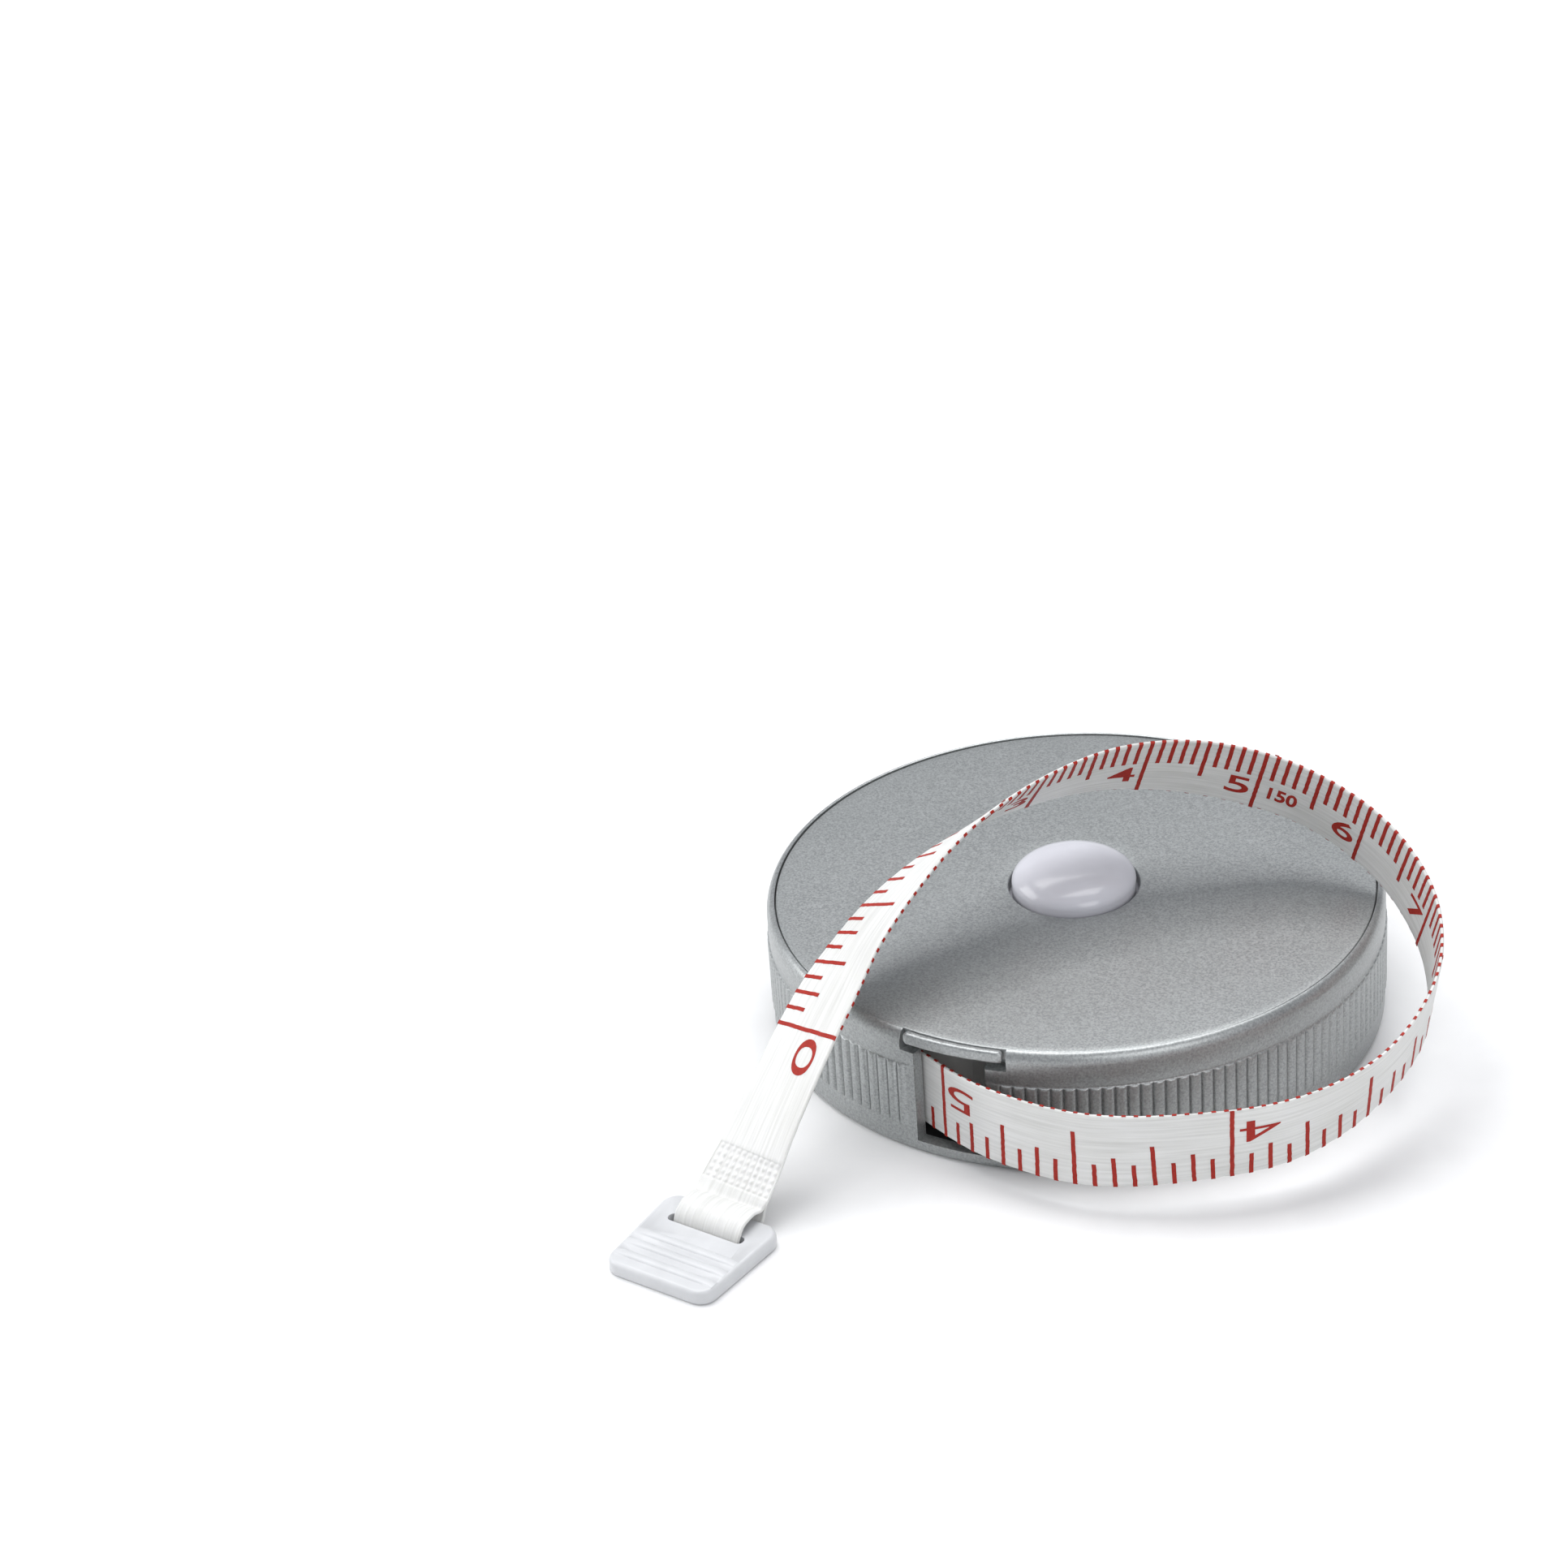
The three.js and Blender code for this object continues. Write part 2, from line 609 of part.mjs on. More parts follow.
function roundedPlate(u0, u1, halfWidth, corner, low, high) {
  const shape = new THREE.Shape();
  shape.moveTo(u0 + corner, -halfWidth);
  shape.lineTo(u1 - corner, -halfWidth);
  shape.absarc(u1 - corner, -halfWidth + corner, corner, -Math.PI / 2, 0, false);
  shape.lineTo(u1, halfWidth - corner);
  shape.absarc(u1 - corner, halfWidth - corner, corner, 0, Math.PI / 2, false);
  shape.lineTo(u0 + corner, halfWidth);
  shape.absarc(u0 + corner, halfWidth - corner, corner, Math.PI / 2, Math.PI, false);
  shape.lineTo(u0, -halfWidth + corner);
  shape.absarc(u0 + corner, -halfWidth + corner, corner, Math.PI, 1.5 * Math.PI, false);
  const geometry = new THREE.ExtrudeGeometry(shape, { depth: high - low, bevelEnabled: false, curveSegments: 5 });
  geometry.translate(0, 0, low);
  return geometry;
}

function endTab() {
  const slotHalf = TAPE_WIDTH / 2 + 0.2;
  const slotEnd = TAB_BAR + TAB_SLOT;
  let body = toSolid(roundedPlate(0, TAB_LENGTH, TAB_WIDTH / 2, TAB_CORNER, 0, TAB_THICKNESS));
  body = body.subtract(toSolid(block((TAB_BAR + slotEnd) / 2, 0, 0, TAB_SLOT, 2 * slotHalf, 10)));
  body = body.subtract(toSolid(block(slotEnd / 2 - 1, 0, 0, slotEnd + 2, 2 * slotHalf, 2 * TAB_BAR_LIFT)));
  for (const fromEnd of TAB_RIDGES) {
    const ridge = new THREE.CylinderGeometry(TAB_RIDGE_RADIUS, TAB_RIDGE_RADIUS, TAB_TIP_WIDTH - 0.4, 12);
    ridge.translate(TAB_LENGTH - fromEnd, 0, TAB_THICKNESS + TAB_RIDGE_HEIGHT - TAB_RIDGE_RADIUS);
    body = body.add(toSolid(ridge));
  }
  const taper = (1 - TAB_TIP_WIDTH / TAB_WIDTH) / TAB_LENGTH;
  return piece("end_tab", placeOnTab(toGeometry(body), (x, y, z) => [x, y * (1 - taper * x), z]), white());
}

// ---------------------------------------------------------------- assembly
const tapeMeasure = new THREE.Group();
tapeMeasure.add(
  caseBody(),
  topCover(),
  arborPost(),
  postCirclip(),
  returnSpring(),
  powerSpring(),
  buttonCap(),
  buttonStem(),
  brakePlate(),
  brakeRing(),
  reelDrum(),
  reelBush(),
  reelLid(),
  ...reelPegs(),
  tapeAnchor(),
  tapeRoll(),
  tapeInnerRun(),
  tapeFree(),
  tapeEndLoop(),
  tapeEndWeld(),
  endTab(),
);

export default tapeMeasure;
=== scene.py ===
import math
import random

import bmesh
import bpy
import numpy as np
from mathutils import Matrix, Vector


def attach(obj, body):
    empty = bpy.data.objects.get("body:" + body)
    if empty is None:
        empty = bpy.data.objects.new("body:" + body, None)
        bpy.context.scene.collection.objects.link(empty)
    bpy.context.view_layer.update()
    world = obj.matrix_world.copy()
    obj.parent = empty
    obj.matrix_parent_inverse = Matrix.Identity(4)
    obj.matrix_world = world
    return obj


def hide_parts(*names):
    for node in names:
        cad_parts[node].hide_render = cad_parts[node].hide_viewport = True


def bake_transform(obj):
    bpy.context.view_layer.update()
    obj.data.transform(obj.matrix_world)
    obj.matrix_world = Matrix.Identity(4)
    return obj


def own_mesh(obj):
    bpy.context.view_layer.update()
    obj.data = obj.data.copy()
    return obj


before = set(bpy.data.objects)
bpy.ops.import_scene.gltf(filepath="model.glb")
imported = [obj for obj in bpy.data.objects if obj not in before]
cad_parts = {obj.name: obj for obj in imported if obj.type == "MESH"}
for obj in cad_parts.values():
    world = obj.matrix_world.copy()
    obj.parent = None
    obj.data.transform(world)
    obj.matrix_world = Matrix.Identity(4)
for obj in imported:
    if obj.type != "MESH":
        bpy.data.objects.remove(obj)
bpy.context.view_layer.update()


# ---------------------------------------------------------------- camera
# A long lens looks down on the case from the front, a little from the right of the mouth, and is
# turned a few degrees about its own axis.
LENS, SENSOR_WIDTH = 90.23, 36
CAMERA_PLACE = (0.11444, -0.26466, 0.19031)
CAMERA_TURN = (59.8106, 3.8981, 25.9352)
NEAREST_SEEN = 0.01

camera_data = bpy.data.cameras.new("camera")
camera_data.sensor_width = SENSOR_WIDTH
camera_data.lens = LENS
camera_data.clip_start = NEAREST_SEEN
camera = bpy.data.objects.new("camera", camera_data)
camera.location = CAMERA_PLACE
camera.rotation_euler = [math.radians(turn) for turn in CAMERA_TURN]
bpy.context.scene.collection.objects.link(camera)
bpy.context.scene.camera = camera


# ---------------------------------------------------------------- tape
# Yarns of glass fibre laid side by side and coated with white vinyl. The tape comes out of the mouth
# on edge, rises over the case and comes down flat to the pull tab. There it folds over the tab's bar,
# through the slot and back, and its end is heat-welded to its own underside.
MM = 0.001
TAPE_WIDTH = 7.0 * MM
TAPE_THICKNESS = 0.3 * MM
FOLD_WIDTH = 6.5 * MM
YARNS = 21
YARN_HEIGHT = 0.012 * MM
EDGE_TRIM = 0.03 * MM
EDGE_WAVER = 0.018 * MM
FACE_WAVER = 0.004 * MM
NARROWS_BEFORE, NARROWS_AFTER = 0.6 * MM, 1.1 * MM

# x, y, z in metres and the lean from upright in degrees, from the mouth to the tab
TAPE_ROUTE = [
    (-0.0045, -0.0242, 0.0056, 0), (0.0030, -0.0275, 0.0056, 0), (0.0120, -0.0283, 0.0056, 0),
    (0.0205, -0.0255, 0.0060, 5), (0.0275, -0.0205, 0.0063, 10), (0.0320, -0.0135, 0.0075, 15),
    (0.0335, -0.0050, 0.0098, 10), (0.0310, 0.0020, 0.0127, 5), (0.0255, 0.0067, 0.0160, -5),
    (0.0180, 0.0084, 0.0190, -15), (0.0100, 0.0065, 0.0213, -20), (0.0035, 0.0023, 0.0225, -30),
    (-0.0015, -0.0030, 0.0223, -40), (-0.0055, -0.0095, 0.0213, -50), (-0.0085, -0.0160, 0.0190, -60),
    (-0.0102, -0.0220, 0.0164, -65), (-0.0113, -0.0280, 0.0128, -75), (-0.0125, -0.0335, 0.0080, -80),
    (-0.0134, -0.0371, 0.0043, -86), (-0.0139, -0.0396, 0.0023, -90),
]
# over the bar, down through the slot and back under the bar: millimetres along the tab and up
FOLD = [
    (-0.3, 1.96), (0.45, 2.19), (1.2, 2.23), (1.9, 2.12), (2.45, 1.8), (2.85, 1.3), (3.04, 0.8), (2.9, 0.38),
    (2.4, 0.2), (1.4, 0.17), (0.4, 0.25), (-0.4, 0.8),
]
WELD_FROM = 0.4 * MM
WELD_TO = 3.7 * MM
WELD_ROWS = 5
WELD_POINTS = 5
WELD_DEPTH = 0.11 * MM
WELD_FADE = 0.2 * MM
UNDER_GAP = 1.15 * TAPE_THICKNESS
ROUTE_STEPS, ROUTE_ROWS = 40, 150
FOLD_STEPS = 8
FREE_RINGS, WELD_RINGS, FOLD_RINGS = 480, 50, 110

# The tab's own axes: along it away from the tape, across it, and up from the table.
TAB_HEADING = math.radians(-98)
TAB_PAST_ROUTE = 0.9 * MM
tab_along = Vector((math.cos(TAB_HEADING), math.sin(TAB_HEADING), 0))
tab_across = Vector((0, 0, 1)).cross(tab_along)
tab_edge = Vector((*TAPE_ROUTE[-1][:2], 0)) + TAB_PAST_ROUTE * tab_along


def on_tab(along, across, height):
    """A point given in millimetres from the middle of the tab's far edge."""
    return tab_edge + MM * (along * tab_along + across * tab_across + Vector((0, 0, height)))


def spline(points, per_span):
    """A centripetal Catmull-Rom curve; the knots are spaced by the points' first three numbers."""
    p = np.array(points, float)
    p = np.vstack([2 * p[0] - p[1], p, 2 * p[-1] - p[-2]])
    gap = np.linalg.norm(np.diff(p[:, :3], axis=0), axis=1) ** 0.5
    curve = []
    for i in range(1, len(p) - 2):
        d0, d1, d2 = gap[i - 1:i + 2]
        step = p[i + 1] - p[i]
        leave = step + d1 * ((p[i] - p[i - 1]) / d0 - (p[i + 1] - p[i - 1]) / (d0 + d1))
        arrive = step + d1 * ((p[i + 2] - p[i + 1]) / d2 - (p[i + 2] - p[i]) / (d1 + d2))
        for t in np.arange(per_span) / per_span:
            low, high = 2 * t**3 - 3 * t**2 + 1, 3 * t**2 - 2 * t**3
            curve.append(low * p[i] + high * p[i + 1] + t * (t - 1) * ((t - 1) * leave + t * arrive))
    curve.append(p[-2])
    return np.array(curve)


def lengths(curve):
    """How far along the curve each of its points is."""
    return np.concatenate([[0], np.cumsum(np.linalg.norm(np.diff(curve[:, :3], axis=0), axis=1))])


def at_lengths(curve, wanted, gone=None):
    """The curve's rows at the wanted distances along it."""
    gone = lengths(curve) if gone is None else gone
    return np.stack([np.interp(wanted, gone, column) for column in curve.T], axis=1)


def unit(rows):
    """Each row as a direction of length one."""
    return rows / np.linalg.norm(rows, axis=1)[:, None]


# Each row of the curve holds a point and the direction across the tape there.
route = spline(TAPE_ROUTE, ROUTE_STEPS)
route_length = lengths(route)[-1]
route = at_lengths(route, np.linspace(0, route_length, ROUTE_ROWS))
lean = np.radians(route[:, 3:4])
along = unit(np.gradient(route[:, :3], axis=0))
rise = unit(np.array([0, 0, 1.0]) - along * along[:, 2:3])
across = rise * np.cos(lean) + np.cross(along, rise) * np.sin(lean)
top_layer = np.hstack([route[:, :3], across])
under_layer = top_layer - UNDER_GAP * np.hstack([np.cross(along, across), 0 * across])
fold = np.array([[*on_tab(u, 0, z), *tab_across] for u, z in FOLD])
weld_places = route_length - np.linspace(WELD_FROM, WELD_TO, WELD_POINTS)
weld = at_lengths(under_layer, weld_places, lengths(top_layer))
tape_curve = spline(np.vstack([top_layer, fold, weld]), FOLD_STEPS)
tape_length = lengths(tape_curve)[-1]

# Rings are closer together where the tape is knurled by the weld and where it folds.
weld_zone = (route_length - WELD_TO, route_length - WELD_FROM)
stations = np.concatenate([
    np.linspace(0, weld_zone[0], FREE_RINGS, endpoint=False),
    np.linspace(*weld_zone, WELD_RINGS, endpoint=False),
    np.linspace(weld_zone[1], tape_length, FOLD_RINGS),
])
tape_rows = at_lengths(tape_curve, stations)
tape_centre = tape_rows[:, :3]
tape_along = unit(np.gradient(tape_centre, axis=0))
tape_across = tape_rows[:, 3:]
tape_across = unit(tape_across - tape_along * (tape_across * tape_along).sum(1)[:, None])
tape_face = np.cross(tape_along, tape_across)


def smooth(value, start, end):
    """Rises gently from 0 at the start to 1 at the end."""
    t = np.clip((value - start) / (end - start), 0, 1)
    return t * t * (3 - 2 * t)


def tape_section(station):
    """The outline at one ring: distance across and height off the middle, in metres."""
    half_thick = TAPE_THICKNESS / 2
    narrow = smooth(station, route_length - NARROWS_BEFORE, route_length + NARROWS_AFTER)
    wobble = EDGE_WAVER * (math.sin(station / (0.21 * MM)) + math.sin(station / (0.34 * MM) + 1))
    half = (TAPE_WIDTH + (FOLD_WIDTH - TAPE_WIDTH) * narrow) / 2 - EDGE_TRIM + wobble / 2
    share = np.linspace(-1, 1, YARNS * 4 + 1)
    flat = share * (half - half_thick)
    yarn = YARN_HEIGHT * (1 - np.cos(share * YARNS * math.pi)) / 2
    drift = FACE_WAVER * np.sin(share * 17 + station / (2.3 * MM)) * np.sin(share * 7 - station / (5 * MM))
    top = half_thick - YARN_HEIGHT + yarn + drift
    in_weld = smooth(station, weld_zone[0], weld_zone[0] + WELD_FADE)
    in_weld *= 1 - smooth(station, weld_zone[1] - WELD_FADE, weld_zone[1])
    row = math.sin(math.pi * WELD_ROWS * (station - weld_zone[0]) / (weld_zone[1] - weld_zone[0])) ** 2
    top = top - in_weld * WELD_DEPTH * (1 - row * np.cos(share * 5.5 * math.pi) ** 2)
    bottom = half_thick - YARN_HEIGHT + yarn
    turn = np.radians([60, 30, 0, -30, -60])
    edge = half - half_thick + half_thick * np.cos(turn)
    bulge = (half_thick - YARN_HEIGHT) * np.sin(turn)
    v = np.concatenate([flat, edge, flat[::-1], -edge])
    h = np.concatenate([top, bulge, -bottom[::-1], -bulge])
    return v, h


def tube_faces(rings, around):
    """Faces between rings of points, and the two ends."""
    faces = []
    for r in range(rings - 1):
        for i in range(around):
            this, beside = r * around + i, r * around + (i + 1) % around
            faces.append((this, beside, beside + around, this + around))
    ends = [tuple(reversed(range(around))), tuple(range((rings - 1) * around, rings * around))]
    return faces + ends


def new_piece(name, vertices, faces, body, smooth_angle=40):
    """A mesh object that rides on a body, with its faces turned outwards and its flat faces kept flat."""
    mesh = bpy.data.meshes.new(name)
    mesh.from_pydata([tuple(v) for v in vertices], [], faces)
    work = bmesh.new()
    work.from_mesh(mesh)
    bmesh.ops.recalc_face_normals(work, faces=work.faces)
    work.to_mesh(mesh)
    work.free()
    mesh.shade_smooth()
    mesh.set_sharp_from_angle(angle=math.radians(smooth_angle))
    piece = bpy.data.objects.new(name, mesh)
    bpy.context.scene.collection.objects.link(piece)
    if body:
        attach(piece, body)
    return piece


tape_points = []
tape_flat = []
for station, centre, out, face in zip(stations, tape_centre, tape_across, tape_face):
    v, h = tape_section(station)
    tape_points.append(centre + v[:, None] * out + h[:, None] * face)
    tape_flat.append(np.stack([np.full(len(v), station), v], axis=1))
around = len(tape_points[0])
tape = new_piece("tape", np.vstack(tape_points), tube_faces(len(stations), around), None, 60)


def lay_flat(piece, flat):
    """Stores where each point lies on the flat tape, in centimetres, for the materials."""
    layer = piece.data.uv_layers.new(name="flat")
    corner = np.zeros(len(piece.data.loops), int)
    piece.data.loops.foreach_get("vertex_index", corner)
    layer.data.foreach_set("uv", (np.array(flat)[corner] * 100).ravel())


lay_flat(tape, np.vstack(tape_flat))


class Finish:
    """A material with its nodes, and short ways to add them, join them and set them."""

    def __init__(self, name):
        self.made = bpy.data.materials.new(name)
        self.made.use_nodes = True
        self.tree = self.made.node_tree
        self.shader = self.tree.nodes["Principled BSDF"]

    def put(self, socket, value, owner=None):
        """Joins an output to a socket, or sets the socket to a plain value."""
        target = (owner or self.shader).inputs[socket]
        if isinstance(value, bpy.types.NodeSocket):
            self.tree.links.new(value, target)
        else:
            target.default_value = value

    def node(self, kind, inputs=(), **settings):
        added = self.tree.nodes.new("ShaderNode" + kind)
        for key, value in settings.items():
            setattr(added, key, value)
        for socket, value in dict(inputs).items():
            self.put(socket, value, added)
        return added

    def place(self):
        return self.node("TexCoord").outputs["Object"]

    def stretch(self, place, scale):
        return self.node("Mapping", {"Vector": place, "Scale": scale}).outputs["Vector"]

    def noise(self, place, scale, detail, roughness=0.5):
        inputs = {"Vector": place, "Scale": scale, "Detail": detail, "Roughness": roughness}
        return self.node("TexNoise", inputs).outputs["Fac"]

    def ramp(self, value, *stops):
        """Two colours and the two levels that they stand at."""
        added = self.node("ValToRGB", {"Fac": value})
        for stop, (level, colour) in zip(added.color_ramp.elements, stops):
            stop.position = level
            stop.color = (*colour, 1)
        return added.outputs["Color"]

    def spread(self, value, low, high):
        return self.node("MapRange", {"Value": value, 3: low, 4: high}).outputs[0]

    def multiply(self, first, second):
        inputs = {6: first, 7: second, 0: 1.0}
        return self.node("Mix", inputs, data_type="RGBA", blend_type="MULTIPLY").outputs[2]

    def bump(self, value, strength, distance, below=None):
        inputs = {"Height": value, "Strength": strength, "Distance": distance}
        if below is not None:
            inputs["Normal"] = below
        return self.node("Bump", inputs).outputs["Normal"]

    def glow(self, weight, reach):
        """Lets light a little way into a white plastic; reach is for red, green and blue."""
        self.put("Subsurface Weight", weight)
        self.put("Subsurface Radius", reach)
        self.put("Subsurface Scale", 1.0)


# Vinyl over glass yarns: faint lines along the tape, fainter ones across it, and a soft gloss.
vinyl = Finish("coated tape")
flat = vinyl.node("UVMap", uv_map="flat").outputs["UV"]
streaks = vinyl.noise(vinyl.stretch(flat, (1.2, 42, 1)), 1.0, 3.0)
weft = vinyl.noise(vinyl.stretch(flat, (30, 4, 1)), 1.0, 2.0)
cloud = vinyl.noise(flat, 1.6, 2.0)
tint = vinyl.ramp(streaks, (0.3, (0.60, 0.60, 0.585)), (0.62, (0.71, 0.71, 0.70)))
pale = vinyl.ramp(cloud, (0.35, (0.93, 0.93, 0.92)), (0.7, (1, 1, 1)))
vinyl.put("Base Color", vinyl.multiply(tint, pale))
vinyl.put("Roughness", vinyl.spread(weft, 0.36, 0.5))
vinyl.put("Normal", vinyl.bump(weft, 0.25, 0.02 * MM, vinyl.bump(streaks, 0.35, 0.03 * MM)))
vinyl.glow(0.12, (0.5 * MM, 0.5 * MM, 0.4 * MM))
tape.data.materials.append(vinyl.made)
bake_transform(tape)
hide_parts("tape_free", "tape_end_loop", "tape_end_weld", "tape_inner_run")


# ---------------------------------------------------------------- printed scale
# Red ink, sixteenths of an inch on one face and millimetres on the other. Each mark starts at an edge
# and each number stands by the line that it names, with its zero 131 mm from the mouth.
ZERO_FROM_MOUTH = 131 * MM
INK_WIDTH = 0.36 * MM
INK_LIFT = 0.010 * MM
INK_DEPTH = 0.05 * MM
INK_RAGGED = 0.022 * MM
MARK_STEP = 0.3 * MM
MARK_BEND = 0.04 * MM
MARK_WRAP = 0.08 * MM
MARK_UNDER = 0.06 * MM
INCH_FACE, CM_FACE = -1, 1
INCH = 25.4 * MM
SIXTEENTH = INCH / 16
SIXTEENTH_SHARES = {16: 1.0, 8: 0.74, 4: 0.57, 2: 0.41, 1: 0.31}
MILLIMETRE_SHARES = {10: 1.0, 5: 0.63, 1: 0.43}
LAST_MARK = ZERO_FROM_MOUTH - 0.4 * MM
NUMBER_MIDDLE = 0.655 * TAPE_WIDTH
NUMBER_GAP = 0.62 * MM
NUMBER_CELL = 0.14
LENGTH_MARK_PLACE = 54.3 * MM


def tape_place(station, v, h):
    """The point at a distance along the tape, a distance across it and a height off its middle."""
    columns = (*tape_centre.T, *tape_across.T, *tape_face.T)
    place = [np.interp(station, stations, column) for column in columns]
    p, out, face = Vector(place[:3]), Vector(place[3:6]), Vector(place[6:9])
    return p + v * out + h * face


def scale_place(side, s, q, lift):
    """On one face: s from the zero line towards the mouth, q from the marks' edge, lift off the face."""
    half_thick = TAPE_THICKNESS / 2
    return tape_place(ZERO_FROM_MOUTH - s, side * (TAPE_WIDTH / 2 - q), -side * (half_thick + lift))


def mark(side, s, reach, vertices, faces, draw):
    """One printed line: a thin closed strip that wraps over the tape's edge and follows its yarns."""
    steps = max(3, int(round(reach / MARK_STEP)))
    first = len(vertices)
    outline = [(0.0, -TAPE_THICKNESS * 0.75), (0.0, -MARK_WRAP)]
    outline += [(MARK_BEND + (reach - MARK_BEND) * k / steps, INK_LIFT) for k in range(steps + 1)]
    for q, lift in outline:
        ragged = draw.uniform(-1, 1) * INK_RAGGED
        for side_step, sink in ((-1, 0), (1, 0), (1, -INK_DEPTH), (-1, -INK_DEPTH)):
            inner = MARK_UNDER if lift < 0 and sink else 0
            along_tape = s + side_step * INK_WIDTH / 2 + ragged
            vertices.append(scale_place(side, along_tape, q + inner, lift + (0 if inner else sink)))
    faces.extend(tuple(first + i for i in f) for f in tube_faces(len(outline), 4))


def scale_marks(name, side, pitch, shares, lowest, draw):
    """All the lines of one face as one piece; a share of 1 is a line right across the tape."""
    vertices, faces = [], []
    for i in range(lowest, int(LAST_MARK / pitch) + 1):
        share = next(share for step, share in shares.items() if i % step == 0)
        reach = TAPE_WIDTH if share == 1.0 else share * TAPE_WIDTH
        mark(side, i * pitch, reach, vertices, faces, draw)
    return new_piece(name, vertices, faces, "case", 30)


draw = random.Random(4)
inch_marks = scale_marks("inch_marks", INCH_FACE, SIXTEENTH, SIXTEENTH_SHARES, 0, draw)
cm_marks = scale_marks("centimetre_marks", CM_FACE, MM, MILLIMETRE_SHARES, 1, draw)


def digits(text, side, s, height, stretch, weight, strokes):
    """A printed number, cut into small faces so that it follows the bend of the tape."""
    curve = bpy.data.curves.new("number", "FONT")
    curve.body = text
    curve.size = 1
    curve.resolution_u = 6
    writing = bpy.data.objects.new("number", curve)
    bpy.context.scene.collection.objects.link(writing)
    bpy.context.view_layer.update()
    wide = writing.to_curve(bpy.context.evaluated_depsgraph_get()).copy()
    bpy.data.objects.remove(writing)
    wide.transform(Matrix.Diagonal((stretch, 1, 1, 1)))
    wide.dimensions = "2D"
    wide.fill_mode = "BOTH"
    wide.extrude = 0.5
    wide.offset = weight
    stretched = bpy.data.objects.new("number", wide)
    mesh = bpy.data.meshes.new_from_object(stretched)
    bpy.data.objects.remove(stretched)
    work = bmesh.new()
    work.from_mesh(mesh)
    bpy.data.meshes.remove(mesh)
    bmesh.ops.remove_doubles(work, verts=work.verts, dist=1e-4)
    x = [v.co.x for v in work.verts]
    y = [v.co.y for v in work.verts]
    middle = Vector(((min(x) + max(x)) / 2, (min(y) + max(y)) / 2, 0))
    for axis, low, high in ((0, min(x), max(x)), (1, min(y), max(y))):
        normal = Vector((1, 0, 0)) if axis == 0 else Vector((0, 1, 0))
        for level in np.arange(low + NUMBER_CELL / 2, high, NUMBER_CELL):
            geometry = work.verts[:] + work.edges[:] + work.faces[:]
            bmesh.ops.bisect_plane(work, geom=geometry, plane_co=normal * level, plane_no=normal, dist=1e-5)
    scale = height / (max(y) - min(y))
    half_wide = (max(x) - min(x)) * scale / 2
    for v in work.verts:
        right, up = (v.co.x - middle.x) * scale, (v.co.y - middle.y) * scale
        lift = INK_LIFT if v.co.z > 0 else INK_LIFT - INK_DEPTH
        v.co = scale_place(side, s - half_wide + right, NUMBER_MIDDLE - up, lift)
    made = bpy.data.meshes.new("number")
    work.to_mesh(made)
    work.free()
    strokes.from_mesh(made)
    bpy.data.meshes.remove(made)


def numbers(name, side, places, height, stretch, weight):
    """The numbers of one face as one piece; each ends short of the line it names."""
    work = bmesh.new()
    for s, text in places:
        digits(text, side, s - NUMBER_GAP, height, stretch, weight, work)
    bmesh.ops.recalc_face_normals(work, faces=work.faces)
    mesh = bpy.data.meshes.new(name)
    work.to_mesh(mesh)
    work.free()
    piece = bpy.data.objects.new(name, mesh)
    bpy.context.scene.collection.objects.link(piece)
    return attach(piece, "case")


inch_places = [(INCH * value, str(value)) for value in range(6)]
cm_places = [(10 * MM * value, str(value)) for value in range(1, 13)]
inch_numbers = numbers(
    "inch_numbers", INCH_FACE, inch_places, height=2.2 * MM, stretch=2.3, weight=-0.002,
)
cm_numbers = numbers(
    "centimetre_numbers", CM_FACE, cm_places, height=2.1 * MM, stretch=1.75, weight=0.010,
)
length_mark = numbers(
    "length_mark", CM_FACE, [(LENGTH_MARK_PLACE, "150")], height=1.5 * MM, stretch=1.0, weight=0.03,
)

# Ink sits on the coating, a little thin and uneven where the yarns dip.
ink = Finish("red ink")
blot = ink.noise(ink.place(), 5200.0, 3.0)
ink.put("Base Color", ink.ramp(blot, (0.3, (0.27, 0.013, 0.007)), (0.7, (0.38, 0.022, 0.012))))
ink.put("Normal", ink.bump(blot, 0.2, 0.01 * MM))
ink.put("Roughness", 0.6)
ink.put("Specular IOR Level", 0.25)
for piece in (inch_marks, cm_marks, inch_numbers, cm_numbers, length_mark):
    piece.data.materials.clear()
    piece.data.materials.append(ink.made)


# ---------------------------------------------------------------- case
# A moulded cup with a wall about 1.2 mm thick, painted with satin silver paint. Round the wall stand
# 160 grip ribs with rounded backs and ends. The rim rolls over to a seat for the cover, and the wall
# is cut away for the tape's mouth and, above it, for the cover's lip.
CASE_RADIUS = 26.7 * MM
BAND_RADIUS = 26.56 * MM
CASE_HEIGHT = 11.7 * MM
RIBS = 160
RIB_FROM, RIB_TO = 2.4 * MM, 8.5 * MM
RIB_END = 0.32 * MM
GROOVE_DEPTH = 0.14 * MM
SEAT_RADIUS = 25.86 * MM
INNER_RADIUS = 25.45 * MM
SEAT_HEIGHT = 10.5 * MM
FLOOR = 1.0 * MM
MOUTH = (math.radians(-97.2), math.radians(-83.8))
MOUTH_SILL = 1.25 * MM
NOTCH = (math.radians(-100.1), math.radians(-79.8))
NOTCH_HEIGHT = 9.9 * MM
RIB_FREE = math.radians(3.2)
RIB_STEPS = 12
FLOOR_RING = 12 * MM
FOOT_ROUND = 0.7 * MM
LINE_DEPTH = 0.05 * MM
BAND_TOP = 10.2 * MM
RIM_ROUND = 1.05 * MM
CUT_FROM, CUT_TOP = 20 * MM, 13 * MM
MOUTH_FLARE, NOTCH_FLARE = 0.12 * MM, 0.05 * MM
CUT_STEPS = 24


